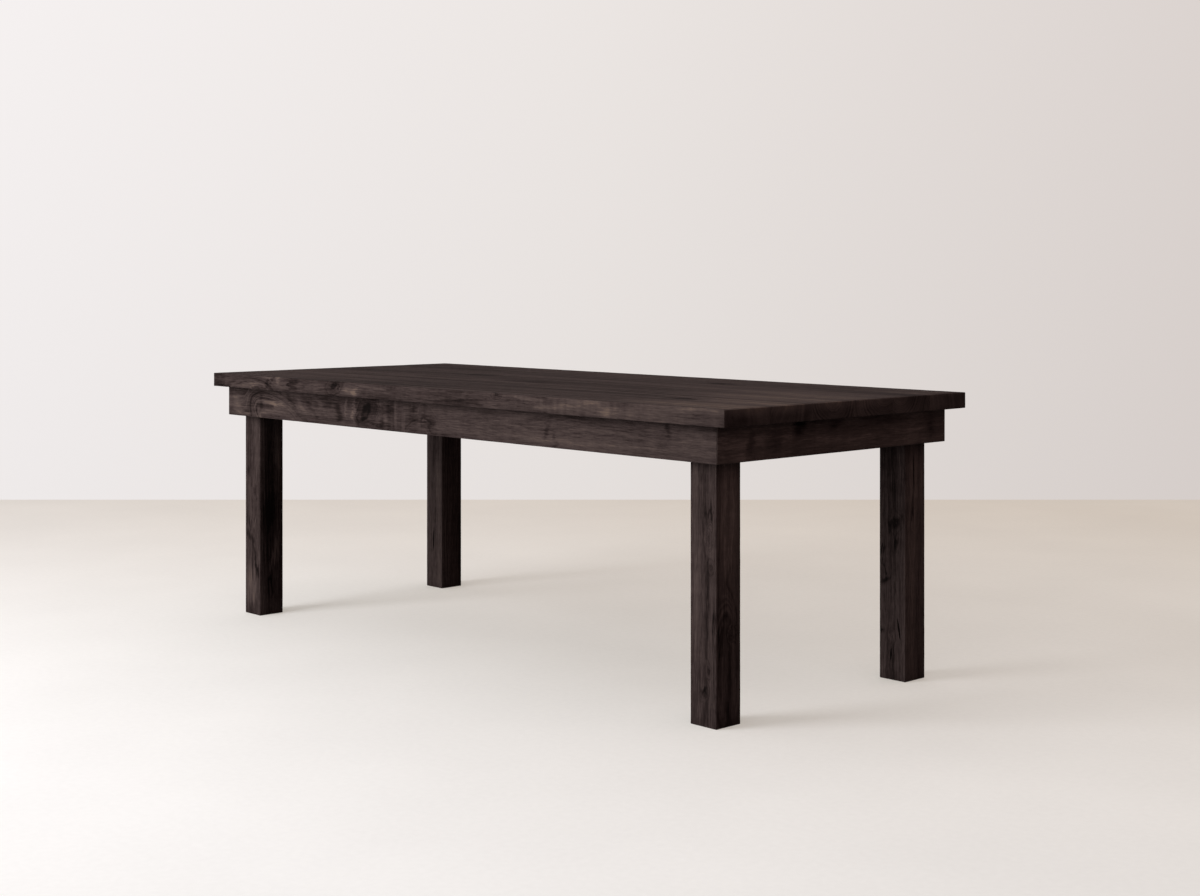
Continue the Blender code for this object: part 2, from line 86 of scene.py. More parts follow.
class Graph:
    """Short ways to add nodes to one tree. A value is another node's socket, a number or a tuple."""

    def __init__(self, tree):
        self.tree = tree

    def feed(self, socket, value):
        if isinstance(value, bpy.types.NodeSocket):
            self.tree.links.new(value, socket)
        else:
            socket.default_value = value

    def add(self, kind, inputs=None, **settings):
        node = self.tree.nodes.new("ShaderNode" + kind)
        for name, value in settings.items():
            setattr(node, name, value)
        for name, value in (inputs or {}).items():
            self.feed(node.inputs[name], value)
        return node

    def use(self, group, **inputs):
        return self.add("Group", inputs, node_tree=group).outputs

    def math(self, operation, *values):
        node = self.add("Math", operation=operation)
        for socket, value in zip(node.inputs, values):
            self.feed(socket, value)
        return node.outputs[0]

    def vector(self, operation, *values):
        node = self.add("VectorMath", operation=operation)
        sockets = (node.inputs[0], node.inputs["Scale"]) if operation == "SCALE" else node.inputs
        for socket, value in zip(sockets, values):
            self.feed(socket, value)
        return node.outputs["Value" if operation in ("DOT_PRODUCT", "LENGTH") else "Vector"]

    def noise(self, place, scale, detail=2.0, roughness=0.5, output="Fac"):
        inputs = {"Vector": place, "Scale": scale, "Detail": detail, "Roughness": roughness}
        return self.add("TexNoise", inputs).outputs[output]

    def noise_along(self, value, scale, detail=2.0, roughness=0.5):
        inputs = {"W": value, "Scale": scale, "Detail": detail, "Roughness": roughness}
        return self.add("TexNoise", inputs, noise_dimensions="1D").outputs["Fac"]

    def stray(self, place, reach, scale, detail=2.0, roughness=0.5):
        """A step in any direction, by up to about half the reach, that changes from place to place."""
        colour = self.noise(place, scale, detail, roughness, "Color")
        return self.vector("SCALE", self.vector("SUBTRACT", colour, (NOISE_MIDDLE,) * 3), reach)

    def fade(self, value, start, end):
        """0 up to the start and 1 from the end on, or the other way round where the end is lower."""
        inputs = {"Value": value, "From Min": start, "From Max": end}
        return self.add("MapRange", inputs, interpolation_type="SMOOTHSTEP").outputs["Result"]

    def mix(self, factor, first, second):
        node = self.add("Mix", data_type="RGBA")
        for i, value in zip(MIX_INPUTS, (factor, first, second)):
            self.feed(node.inputs[i], value)
        return node.outputs[MIX_RESULT]

    def ramp(self, factor, stops):
        node = self.add("ValToRGB", {"Fac": factor})
        elements = node.color_ramp.elements
        while len(elements) < len(stops):
            elements.new(0.5)
        for element, (position, colour) in zip(elements, stops):
            element.position = position
            element.color = (*colour, 1.0)
        return node.outputs["Color"]

    def sum(self, total, *pairs):
        """Adds weights times noises, counted from their middle, to a total."""
        for weight, value in pairs:
            total = self.math("MULTIPLY_ADD", self.math("SUBTRACT", value, NOISE_MIDDLE), weight, total)
        return total

    def seen(self):
        """1 where a ray shows the camera something, and 0 where it only brings light."""
        path = self.add("LightPath").outputs
        seen = self.math("MAXIMUM", path["Is Camera Ray"], path["Is Glossy Ray"])
        return self.math("MAXIMUM", seen, path["Is Transmission Ray"])


def node_group(vectors, floats="", vector_results="", float_results=""):
    """Turns a function that builds nodes into a node group with its name.

    The function takes the group's input sockets, and returns its results, in the order given here.
    """
    sockets = (
        ("INPUT", "Vector", vectors), ("INPUT", "Float", floats),
        ("OUTPUT", "Vector", vector_results), ("OUTPUT", "Float", float_results),
    )

    def make(build):
        tree = bpy.data.node_groups.new(build.__name__, "ShaderNodeTree")
        for way, kind, names in sockets:
            for name in names.split():
                tree.interface.new_socket(name, in_out=way, socket_type="NodeSocket" + kind)
        # The last socket of a group's entry is a spare one
        results = build(Graph(tree), *tree.nodes.new("NodeGroupInput").outputs[:-1])
        for socket, result in zip(tree.nodes.new("NodeGroupOutput").inputs, results):
            tree.links.new(result, socket)
        return tree

    return make


def new_material(name):
    material = bpy.data.materials.new(name)
    material.use_nodes = True
    graph = Graph(material.node_tree)
    return material, graph, material.node_tree.nodes["Principled BSDF"]


# Wood

STAINED = (
    (0.0, (0.006, 0.0044, 0.0042)),
    (0.25, (0.022, 0.015, 0.0142)),
    (0.5, (0.0472, 0.0338, 0.0322)),
    (0.75, (0.074, 0.054, 0.0495)),
    (1.0, (0.13, 0.092, 0.0745)),
)
# A shaded copy of the same stain, painted shade for the pieces whose ends face the dim side: there the
# palest wood isn't golden
STAINED_IN_SHADE = (*STAINED[:-1], (1.0, (0.13, 0.097, 0.09)))
BEECH = (
    (0.0, (0.22, 0.13, 0.07)),
    (0.5, (0.52, 0.36, 0.22)),
    (1.0, (0.68, 0.52, 0.35)),
)

# How far noises are drawn out along the grain
FIGURE_STRETCH = 5.0
DASH_STRETCH = 9.0
FIBRE_STRETCH = 34.0
RIPPLE_STRETCH = 0.12
# How far apart in a noise two boards are whose seeds differ by 1
SEED_STEP = (1.7, 2.3, 3.1)

# How the wood strays from straight: the reach, scale, detail and roughness of each noise
WAVER = (0.01, 34.0, 3.0)
WANDER = (0.045, 22.0, 4.0, 0.6)
SWAYS = ((0.055, 3.6), (0.024, 11.0))
FEATHER_REACH = 0.22
LOOSE_FEATHER = 0.2

# The scale, detail and roughness of the feathering and of each layer of the figure
FEATHER = (110.0, 3.0, 0.6)
BANDS = (48.0, 4.0, 0.65)
LINES = (190.0, 2.0)
STREAKS = (34.0, 3.0, 0.6)
DASHES = (280.0, 3.0, 0.65)
THREADS = (420.0, 2.0, 0.6)
PORES = (700.0, 1.0)
BLOTCH = (4.0, 3.0, 0.6)
DRIFTS = (11.0, 2.0)
WAVES = (7.0, 2.0, 0.4)
PORE_EDGE = (0.58, 0.70)

# What each layer adds to the rings, to the fibres or to the whole
BAND_WEIGHT = 1.15
LINE_WEIGHT = 0.6
STREAK_WEIGHT = 0.7
DASH_WEIGHT = 0.7
THREAD_WEIGHT = 0.45
LEAST_CURL = 0.15
BLOTCH_WEIGHT = 0.7
DRIFT_WEIGHT = 0.45
END_RINGS = -0.22
END_FIBRES = 0.3
PORE_SHADE = -0.10
END_SHADE = -0.01
WORN_SHADE = 0.08
DARK_SHADE = -0.85

ROUGHNESS = 0.85
ROUGHNESS_SPREAD = 0.15
LINE_HEIGHT = 0.5
THREAD_HEIGHT = 0.6
PORE_HEIGHT = -0.8
BUMP_STRENGTH = 0.3
BUMP_DISTANCE = 0.0004
WOOD_SPECULAR = 0.012
WORN_WIDTH = 0.002

# Knots: a ragged edge, an end below the face, rings, a bend in the stem's rings, and fades in radii
KNOT_EDGE = 1.4
KNOT_EDGE_SCALE = 0.7
KNOT_EDGE_ROUGHNESS = 0.45
KNOT_END = (0.04, 0.09)
KNOT_END_RADII = 3.0
KNOT_RING_SPREAD = 0.45
KNOT_BEND = 0.6
KNOT_RINGS = 4.0
KNOT_RING_SHADE = 0.55
KNOT_MIDDLE = (0.9, 0.0)
KNOT_MIDDLE_SHADE = 0.25
KNOT_CORE = (1.2, 0.7)
KNOT_HALO = (3.0, 0.9)
KNOT_HALO_SHADE = 0.28
KNOT_SHADE = 0.58

# Other marks: how deep they go, their even share, and the cosine below which one lies across the grain
MARK_DEPTH = 0.03
CRISP_CORE = 0.5
SOFT_CORE = 0.2
CROSS_GRAIN = 0.75


@node_group(vectors="Position Grain", floats="Seed", vector_results="Figure Dash Fibre Ripple")
def grain_space(graph, position, grain, seed):
    """Places squeezed along the grain, so that a noise there is drawn out along it."""
    along = graph.vector("DOT_PRODUCT", position, grain)
    place = graph.vector("ADD", position, graph.vector("SCALE", SEED_STEP, seed))

    def squeezed(stretch):
        back = graph.vector("SCALE", grain, graph.math("MULTIPLY", along, 1 / stretch - 1))
        return graph.vector("ADD", place, back)

    stretches = (FIGURE_STRETCH, DASH_STRETCH, FIBRE_STRETCH, RIPPLE_STRETCH)
    return [squeezed(stretch) for stretch in stretches]


@node_group(
    vectors="Position Figure Dash Pith Grain",
    vector_results="Place Loose Feathered", float_results="Rings",
)
def stem(graph, position, figure, dash, pith, grain):
    """The distance from the log's heart, which the growth rings follow, with the sway of a grown trunk.

    A loose place wanders a little more than the wood does, and a feathered one is drawn out along the
    grain, unevenly from fibre to fibre.
    """
    place = graph.vector("ADD", position, graph.stray(figure, *WAVER))
    feather = graph.math("SUBTRACT", graph.noise(dash, *FEATHER), NOISE_MIDDLE)
    feather = graph.math("MULTIPLY", feather, FEATHER_REACH)
    feathered = graph.vector("ADD", place, graph.vector("SCALE", grain, feather))
    slight = graph.vector("SCALE", grain, graph.math("MULTIPLY", feather, LOOSE_FEATHER))
    loose = graph.vector("ADD", graph.vector("ADD", place, graph.stray(figure, *WANDER)), slight)
    swayed = place
    for sway in SWAYS:
        swayed = graph.vector("ADD", swayed, graph.stray(figure, *sway))
    offset = graph.vector("SUBTRACT", swayed, pith)
    along = graph.vector("SCALE", grain, graph.vector("DOT_PRODUCT", offset, grain))
    return place, loose, feathered, graph.vector("LENGTH", graph.vector("SUBTRACT", offset, along))


@node_group(
    vectors="Place Centre Branch", floats="Rings Dark Radius Heart Black", float_results="Rings Dark"
)
def knot(graph, place, centre, branch, rings, dark, radius, heart, black):
    """A branch through the wood: its own rings join those of the stem, which bend round it."""
    edge_scale = graph.math("DIVIDE", KNOT_EDGE_SCALE, radius)
    edge = graph.stray(place, radius, edge_scale, roughness=KNOT_EDGE_ROUGHNESS)
    edge = graph.vector("SCALE", edge, KNOT_EDGE)
    offset = graph.vector("ADD", graph.vector("SUBTRACT", place, centre), edge)
    inward = graph.vector("DOT_PRODUCT", offset, branch)
    along = graph.vector("SCALE", branch, inward)
    reach = graph.vector("LENGTH", graph.vector("SUBTRACT", offset, along))
    reach = graph.math("DIVIDE", reach, radius)
    past_end = graph.fade(graph.math("ABSOLUTE", inward), *KNOT_END)
    reach = graph.math("MULTIPLY_ADD", past_end, KNOT_END_RADII, reach)
    own_rings = graph.math("MULTIPLY", graph.math("MULTIPLY", reach, heart), KNOT_RING_SPREAD)
    joined = graph.math("SMOOTH_MIN", rings, own_rings, graph.math("MULTIPLY", heart, KNOT_BEND))
    rings_seen = graph.noise_along(graph.math("MULTIPLY", reach, KNOT_RINGS), 1.0)
    middle = graph.math("MULTIPLY", graph.fade(reach, *KNOT_MIDDLE), KNOT_MIDDLE_SHADE)
    core = graph.math("SUBTRACT", graph.fade(reach, *KNOT_CORE), middle)
    core = graph.sum(core, (graph.math("MULTIPLY", core, KNOT_RING_SHADE), rings_seen))
    halo = graph.math("MULTIPLY", graph.fade(reach, *KNOT_HALO), KNOT_HALO_SHADE)
    shade = graph.math("MAXIMUM", core, halo)
    shade = graph.math("MULTIPLY", shade, graph.math("MULTIPLY", black, KNOT_SHADE))
    return joined, graph.math("MAXIMUM", dark, shade)


@node_group(vectors="Place Centre Along Across Inward", floats="Value Core Weight", float_results="Value")
def patch(graph, place, centre, along, across, inward, value, core, weight):
    """Adds a soft-edged spot with an even core to a value. Each axis is a direction over its reach."""
    offset = graph.vector("SUBTRACT", place, centre)
    shares = [graph.vector("DOT_PRODUCT", offset, axis) for axis in (along, across, inward)]
    away = graph.add("CombineXYZ", dict(zip("XYZ", shares))).outputs[0]
    inside = graph.fade(graph.vector("LENGTH", away), 1.0, core)
    return (graph.math("MULTIPLY_ADD", inside, weight, value),)


@node_group(
    vectors="Figure Dash Fibre Ripple", floats="Rings Tone Dark Curl Bold End Worn",
    float_results="Value Roughness Height",
)
def board_finish(graph, figure, dash, fibre, ripple, rings, tone, dark, curl, bold, end, worn):
    """Wood from its rings, fibres and pores, darker in knots and end grain, paler where it is worn."""
    side = graph.math("SUBTRACT", 1.0, end)
    bands = graph.noise_along(rings, *BANDS)
    lines = graph.noise_along(rings, *LINES)
    threads = graph.noise(fibre, *THREADS)
    pores = graph.fade(graph.noise(dash, *PORES), *PORE_EDGE)
    blotch = graph.noise(figure, *BLOTCH)
    curled = (graph.math("ADD", curl, LEAST_CURL), graph.noise(ripple, *WAVES))
    growth = graph.sum(NOISE_MIDDLE, (BAND_WEIGHT, bands), (LINE_WEIGHT, lines))
    fibres = graph.sum(
        NOISE_MIDDLE, (STREAK_WEIGHT, graph.noise(fibre, *STREAKS)),
        (DASH_WEIGHT, graph.noise(dash, *DASHES)), (THREAD_WEIGHT, threads), curled,
    )
    value = graph.sum(
        tone, (graph.math("MULTIPLY_ADD", end, END_RINGS, bold), growth),
        (graph.math("MULTIPLY_ADD", side, 1 - END_FIBRES, END_FIBRES), fibres),
        (BLOTCH_WEIGHT, blotch), (DRIFT_WEIGHT, graph.noise(dash, *DRIFTS)),
    )
    for share, shade in ((pores, PORE_SHADE), (end, END_SHADE), (worn, WORN_SHADE), (dark, DARK_SHADE)):
        value = graph.math("MULTIPLY_ADD", share, shade, value)
    roughness = graph.sum(ROUGHNESS, (ROUGHNESS_SPREAD, threads), (ROUGHNESS_SPREAD, blotch))
    height = graph.sum(0.0, (LINE_HEIGHT, lines), (THREAD_HEIGHT, graph.math("MULTIPLY", threads, side)))
    return value, roughness, graph.math("MULTIPLY_ADD", pores, PORE_HEIGHT, height)


@node_group(vectors="Position Middle Half", floats="Width", float_results="Worn")
def arris(graph, position, middle, half, width):
    """1 along a board's edges, fading to 0 across the given width."""
    away = graph.vector("ABSOLUTE", graph.vector("SUBTRACT", position, middle))
    axes = graph.add("SeparateXYZ", {"Vector": graph.vector("SUBTRACT", half, away)}).outputs
    near = None
    for first, second in ((0, 1), (1, 2), (2, 0)):
        pair = graph.math("MAXIMUM", axes[first], axes[second])
        near = pair if near is None else graph.math("MINIMUM", near, pair)
    return (graph.fade(near, width, 0.0),)


@dataclass
class Mark:
    """A feature at a place on a face, given as shares of its width and height from its upper left corner.

    A knot has rings of its own and is sunk a little, and a check is an open crack. A mark of another
    kind adds its weight, softly, to the rings, tone, dark or curl, or to how boldly the rings show. The
    size is half the length and half the width, and the turn is in degrees against the clock.
    """

    kind: str
    face: str
    across: float
    down: float
    size: tuple
    weight: float = 1.0
    turn: float = 0.0

    def axes(self):
        """The directions along the mark, across it and out of the face."""
        normal, right = FACES[self.face]
        up = normal.cross(right)
        angle = math.radians(self.turn)
        along = right * math.cos(angle) + up * math.sin(angle)
        return along, normal.cross(along), normal

    def centre(self, low, high):
        """The point of a board that the mark is at."""
        normal, right = FACES[self.face]
        up = normal.cross(right)
        shares = normal * 0.5 + right * (self.across - 0.5) + up * (0.5 - self.down)
        return (low + high) / 2 + Vector(a * b for a, b in zip(shares, high - low))


def marks_on(**faces):
    """Marks from the rows for each face. A row has all of a mark's values but its face."""
    return tuple(Mark(kind, face, *rest) for face, rows in faces.items() for kind, *rest in rows)


@dataclass
class Board:
    """How a piece lies in its log. The heart is the log's, from the piece's middle."""

    grain: Vector
    heart: tuple
    tone: float = 0.5
    bold: float = 0.5
    marks: tuple = ()
    tones: tuple = STAINED


def add_knot(graph, mark, centre, board, pith, log, value):
    """Grows a knot into a board's rings and darkness."""
    along, _, normal = mark.axes()
    length, width = mark.size
    lean = math.sqrt(max((length / width) ** 2 - 1, 0))
    offset = centre - pith
    grown = graph.use(
        knot, Place=log["Place"], Rings=value["Rings"], Dark=value["Dark"], Centre=centre,
        Branch=(normal + along * lean).normalized(), Radius=width,
        Heart=(offset - board.grain * offset.dot(board.grain)).length, Black=mark.weight,
    )
    value["Rings"], value["Dark"] = grown["Rings"], grown["Dark"]


def add_patch(graph, mark, centre, board, position, log, value):
    """Adds a mark other than a knot to the value that it changes."""
    along, across, normal = mark.axes()
    length, width = mark.size
    crossing = abs(along.dot(board.grain)) < CROSS_GRAIN
    crisp = {"check": position, "rings": log["Place"]}
    spot = crisp.get(mark.kind, log["Loose" if crossing else "Feathered"])
    name = "Dark" if mark.kind == "check" else mark.kind.title()
    value[name] = graph.use(
        patch, Place=spot, Value=value[name], Centre=centre,
        Along=along / length, Across=across / width, Inward=normal / MARK_DEPTH,
        Core=CRISP_CORE if mark.kind in crisp else SOFT_CORE, Weight=mark.weight,
    )["Value"]


def wood_material(node, board, seed):
    low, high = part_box(node)
    middle, half = (low + high) / 2, (high - low) / 2
    pith = middle + Vector(board.heart)
    material, graph, shader = new_material(node + "_wood")
    position = graph.add("TexCoord").outputs["Object"]
    space = graph.use(grain_space, Position=position, Grain=board.grain, Seed=seed)
    log = graph.use(
        stem, Position=position, Figure=space["Figure"], Dash=space["Dash"], Pith=pith, Grain=board.grain
    )
    value = {"Rings": log["Rings"], "Tone": board.tone, "Dark": 0.0, "Curl": 0.0, "Bold": board.bold}
    for mark in board.marks:
        centre = mark.centre(low, high)
        if mark.kind == "knot":
            add_knot(graph, mark, centre, board, pith, log, value)
        else:
            add_patch(graph, mark, centre, board, position, log, value)
    normal = graph.add("NewGeometry").outputs["Normal"]
    finish = graph.use(
        board_finish, **space, **value,
        End=graph.math("ABSOLUTE", graph.vector("DOT_PRODUCT", normal, board.grain)),
        Worn=graph.use(arris, Position=position, Middle=middle, Half=half, Width=WORN_WIDTH)["Worn"],
    )
    relief = {"Height": finish["Height"], "Strength": BUMP_STRENGTH, "Distance": BUMP_DISTANCE}
    graph.feed(shader.inputs["Base Color"], graph.ramp(finish["Value"], board.tones))
    graph.feed(shader.inputs["Roughness"], finish["Roughness"])
    graph.feed(shader.inputs["Normal"], graph.add("Bump", relief).outputs["Normal"])
    shader.inputs["Specular IOR Level"].default_value = WOOD_SPECULAR
    return material


# Zinc plate

CRYSTAL_SCALE = 900.0
CRYSTAL_SHARE = 0.12
BLOOM = (160.0, 3.0)
BLOOM_COLOURS = (
    (0.3, (0.46, 0.46, 0.45)),
    (0.7, (0.66, 0.66, 0.64)),
)
ZINC_ROUGHNESS = 0.36
ZINC_ROUGHNESS_SPREAD = 0.3


def steel_material():
    """Bright zinc plate: faint crystals and a dull bloom."""
    material, graph, shader = new_material("zinc_plate")
    position = graph.add("TexCoord").outputs["Object"]
    crystals = graph.add("TexVoronoi", {"Vector": position, "Scale": CRYSTAL_SCALE}).outputs["Color"]
    bloom = graph.noise(position, *BLOOM)
    colour = graph.ramp(bloom, BLOOM_COLOURS)
    graph.feed(shader.inputs["Base Color"], graph.mix(CRYSTAL_SHARE, colour, crystals))
    graph.feed(shader.inputs["Roughness"], graph.sum(ZINC_ROUGHNESS, (ZINC_ROUGHNESS_SPREAD, bloom)))
    shader.inputs["Metallic"].default_value = 1.0
    return material


# Boards

STRIP = 0.030
# A step longer than any board is wide
WHOLE_WIDTH = 1.0
FINE_CUT = 0.003
CUT_MARGIN = 1.2
CHECK_CUTS = 8
CLOSEST_CUTS = 0.0004
SAME_POINT = 1e-6
FLAT = 0.02
SHARP = math.radians(25)
EASE = 0.0022
WEAR = 0.0005
WEAR_SCALE = 45
KNOT_SINK = 0.0009
KNOT_RIM = 1.15
KNOT_WALL = 2.5
CHECK_DEPTH = 0.003


def add_piece(node, bm, material):
    """Shows a finished mesh in place of one CAD node."""
    mesh = bpy.data.meshes.new(node + "_piece")
    bm.to_mesh(mesh)
    bm.free()
    mesh.shade_smooth()
    mesh.set_sharp_from_angle(angle=SHARP)
    mesh.materials.append(material)
    piece = bpy.data.objects.new(node + "_piece", mesh)
    bpy.context.scene.collection.objects.link(piece)
    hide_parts(node)
    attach(piece, "root")


def cad_copy(node):
    """A copy of a CAD node's mesh, with each flat face in one piece."""
    bm = bmesh.new()
    bm.from_mesh(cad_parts[node].data)
    bmesh.ops.remove_doubles(bm, verts=bm.verts, dist=SAME_POINT)
    bmesh.ops.dissolve_limit(bm, angle_limit=FLAT, verts=bm.verts, edges=bm.edges)
    return bm


def cut_places(axis, low, high, step, marks):
    """Where to cut a board along an axis: at even steps, and finely through its knots and checks."""
    start, stop = low.dot(axis), high.dot(axis)
    count = max(round((stop - start) / step), 1)
    places = [start + (stop - start) * i / count for i in range(1, count)]
    for mark in marks:
        along, across, normal = mark.axes()
        if abs(normal.dot(axis)) > ALIGNED:
            continue
        length, width = mark.size
        reach = math.hypot(length * along.dot(axis), width * across.dot(axis)) * CUT_MARGIN
        middle = mark.centre(low, high).dot(axis)
        cuts = max(round(2 * reach / FINE_CUT), CHECK_CUTS)
        places += [middle + reach * (2 * i / cuts - 1) for i in range(cuts + 1)]
    kept = [start]
    for place in sorted(places):
        if kept[-1] + CLOSEST_CUTS < place < stop - CLOSEST_CUTS:
            kept.append(place)
    return kept[1:]


def sunk(point, normal, low, high, marks):
    """How far below its face a point lies, in a knot or a check."""
    depth = 0.0
    for mark in marks:
        along, across, face = mark.axes()
        offset = point - mark.centre(low, high)
        if normal.dot(face) < ALIGNED or abs(offset.dot(face)) > CLOSEST_CUTS:
            continue
        a, b = offset.dot(along) / mark.size[0], offset.dot(across) / mark.size[1]
        if mark.kind == "knot":
            share = max(1 - math.hypot(a, b) / KNOT_RIM, 0.0)
            depth = max(depth, KNOT_SINK * min(share * KNOT_WALL, 1.0))
        elif abs(a) < 1:
            depth = max(depth, CHECK_DEPTH * max(1 - a * a - abs(b), 0.0))
    return depth


def worn(point, low, high):
    """How far an eased edge is worn back at a point on it."""
    middle, half = (low + high) / 2, (high - low) / 2
    inset = sorted(h - abs(d) for h, d in zip(half, point - middle))
    if inset[0] > EASE or inset[1] > EASE or inset[1] < CLOSEST_CUTS:
        return 0.0
    return WEAR * (0.5 + 0.5 * noise.noise(point * WEAR_SCALE))


def board_piece(node, board, material):
    """A finer copy of a board, with worn edges, sunk knots and open checks."""
    low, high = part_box(node)
    marks = [mark for mark in board.marks if mark.kind in ("knot", "check")]
    bm = cad_copy(node)
    for axis in (AXIS_X, AXIS_Y, AXIS_Z):
        step = STRIP if abs(axis.dot(board.grain)) > ALIGNED else WHOLE_WIDTH
        for place in cut_places(axis, low, high, step, marks):
            geometry = bm.verts[:] + bm.edges[:] + bm.faces[:]
            bmesh.ops.bisect_plane(bm, geom=geometry, plane_co=axis * place, plane_no=axis)
    bm.normal_update()
    moves = []
    for vert in bm.verts:
        moves.append(sunk(vert.co, vert.normal, low, high, marks) + worn(vert.co, low, high))
    for vert, depth in zip(bm.verts, moves):
        vert.co -= vert.normal * depth
    add_piece(node, bm, material)


# Fittings

ROUND_STEPS = 32
BOLT_RADIUS = 0.004
BOLT_TIP = 0.010
BOLT_POINT = 0.0004
BOLT_CHAMFER = 0.001
THREAD_LENGTH = 0.056
THREAD_PITCH = 0.00125
THREAD_DEPTH = 0.0007
THREAD_START = 0.001
THREAD_ROWS = 6
NUT_SIDES = 6
NUT_FLAT = 0.0065
NUT_HEIGHT = 0.008
NUT_TOP_RADIUS = NUT_FLAT * 0.96
NUT_CORNER_SLOPE = 0.58
NUT_BORE = BOLT_RADIUS + 0.0002
NUT_CHAMFER = 0.0005
NUT_FILLET = 0.0003
FLANGE_RADIUS = 0.009
FLANGE_EDGE = 0.0012
FLANGE_HEIGHT = 0.003
FLANGE_ARRIS = 0.0003
FLANGE_ROUND = 0.0004
HEAD_RADIUS = 0.0045
HEAD_HEIGHT = 0.003
HEAD_CROWN = 0.0012
CROWN_POWER = 2.5
CROWN_STEPS = 6
SHANK_RADIUS = 0.002
SCREW_TIP = 0.005
SCREW_POINT = 0.0003
DRIVE_SIDES = 4
DRIVE_HALF = 0.0015
DRIVE_DEPTH = 0.0016
DRIVE_RIM = DRIVE_HALF * 1.6
DRIVE_FLARE = 0.0002
DRIVE_FLARE_DEPTH = 0.0003
DRIVE_CENTRE = 0.0002
CLIP_ARRIS = 0.00025
CLIP_CORNER = math.radians(60)


def spun(origin, axis, rings, closed=False):
    """A mesh of rings round an axis. Each ring gives the radius and height at an angle."""
    side = AXIS_X if abs(axis.z) > ALIGNED else AXIS_Z
    other = axis.cross(side)
    bm = bmesh.new()
    loops = []
    for ring in rings:
        loop = []
        for i in range(ROUND_STEPS):
            angle = 2 * math.pi * i / ROUND_STEPS
            radius, height = ring(angle)
            outward = side * math.cos(angle) + other * math.sin(angle)
            loop.append(bm.verts.new(origin + axis * height + outward * radius))
        loops.append(loop)
    pairs = list(zip(loops, loops[1:] + loops[:1]))
    for first, second in pairs if closed else pairs[:-1]:
        for i in range(ROUND_STEPS):
            bm.faces.new((first[i], first[i - 1], second[i - 1], second[i]))
    if not closed:
        bm.faces.new(loops[0])
        bm.faces.new(loops[-1])
    bmesh.ops.recalc_face_normals(bm, faces=bm.faces)
    return bm


def circle(radius, height):
    return lambda angle: (radius, height)


def polygon(sides, flat, height, grow=0.0):
    """A many-sided ring. The flat is its least radius, and it may stand out evenly from that."""
    return lambda angle: (polygon_radius(angle, sides, flat) + grow, height)


def polygon_radius(angle, sides, flat):
    """How far the edge of a regular polygon is from its middle."""
    sector = 2 * math.pi / sides
    return flat / math.cos(angle % sector - sector / 2)


def axis_span(node, axis):
    """Where a turned CAD node starts on its own axis, and its length."""
    low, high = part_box(node)
    middle = (low + high) / 2
    heights = [(vert.co - middle).dot(axis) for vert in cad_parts[node].data.vertices]
    return middle + axis * min(heights), max(heights) - min(heights)


def bolt_piece(node, inward, steel):
    """A hanger bolt: the wood end tapers to a tip, and the other end has a machine thread."""
    origin, length = axis_span(node, inward)
    crest = length - BOLT_CHAMFER
    threaded = THREAD_LENGTH - BOLT_CHAMFER - THREAD_START
    rows = round(THREAD_LENGTH / THREAD_PITCH * THREAD_ROWS)

    def thread_ring(height):
        def ring(angle):
            phase = (height / THREAD_PITCH - angle / (2 * math.pi)) % 1
            return BOLT_RADIUS - THREAD_DEPTH * abs(2 * phase - 1), height

        return ring

    rings = [
        circle(BOLT_POINT, 0.0),
        circle(BOLT_RADIUS, BOLT_TIP),
        circle(BOLT_RADIUS, length - THREAD_LENGTH),
        *[thread_ring(crest - threaded * (1 - i / rows)) for i in range(rows + 1)],
        circle(BOLT_RADIUS - BOLT_CHAMFER, length),
    ]
    add_piece(node, spun(origin, inward, rings), steel)


def nut_piece(node, inward, steel):
    """A flanged nut: a six-sided body with turned corners on a dished flange."""
    origin, _ = axis_span(node, inward)

    def side_top(angle):
        radius = polygon_radius(angle, NUT_SIDES, NUT_FLAT)
        return radius, NUT_HEIGHT - (radius - NUT_TOP_RADIUS) * NUT_CORNER_SLOPE

    rings = (
        circle(NUT_BORE, NUT_CHAMFER),
        circle(NUT_BORE + NUT_CHAMFER, 0.0),
        circle(FLANGE_RADIUS - FLANGE_ARRIS, 0.0),
        circle(FLANGE_RADIUS, FLANGE_ARRIS),
        circle(FLANGE_RADIUS, FLANGE_EDGE),
        circle(FLANGE_RADIUS - FLANGE_ROUND, FLANGE_EDGE + FLANGE_ROUND),
        polygon(NUT_SIDES, NUT_FLAT, FLANGE_HEIGHT - FLANGE_ROUND, NUT_FILLET),
        polygon(NUT_SIDES, NUT_FLAT, FLANGE_HEIGHT + NUT_FILLET),
        side_top,
        circle(NUT_TOP_RADIUS, NUT_HEIGHT),
        circle(NUT_BORE + NUT_CHAMFER, NUT_HEIGHT),
        circle(NUT_BORE, NUT_HEIGHT - NUT_CHAMFER),
    )
    add_piece(node, spun(origin, inward, rings, closed=True), steel)


def screw_piece(node, steel):
    """A pan-head screw with a square drive, seen from below."""
    down = -AXIS_Z
    origin, length = axis_span(node, down)
    seat = length - HEAD_HEIGHT
    floor = length - DRIVE_DEPTH

    def crown(share):
        radius = DRIVE_RIM + (HEAD_RADIUS - DRIVE_RIM) * share
        return circle(radius, length - HEAD_CROWN * share ** CROWN_POWER)

    rings = [
        circle(SCREW_POINT, 0.0),
        circle(SHANK_RADIUS, SCREW_TIP),
        circle(SHANK_RADIUS, seat),
        circle(HEAD_RADIUS, seat),
        *[crown(1 - i / CROWN_STEPS) for i in range(CROWN_STEPS + 1)],
        polygon(DRIVE_SIDES, DRIVE_HALF, length, DRIVE_FLARE),
        polygon(DRIVE_SIDES, DRIVE_HALF, length - DRIVE_FLARE_DEPTH),
        polygon(DRIVE_SIDES, DRIVE_HALF, floor),
        circle(DRIVE_CENTRE, floor + DRIVE_CENTRE),
    ]
    add_piece(node, spun(origin, down, rings), steel)


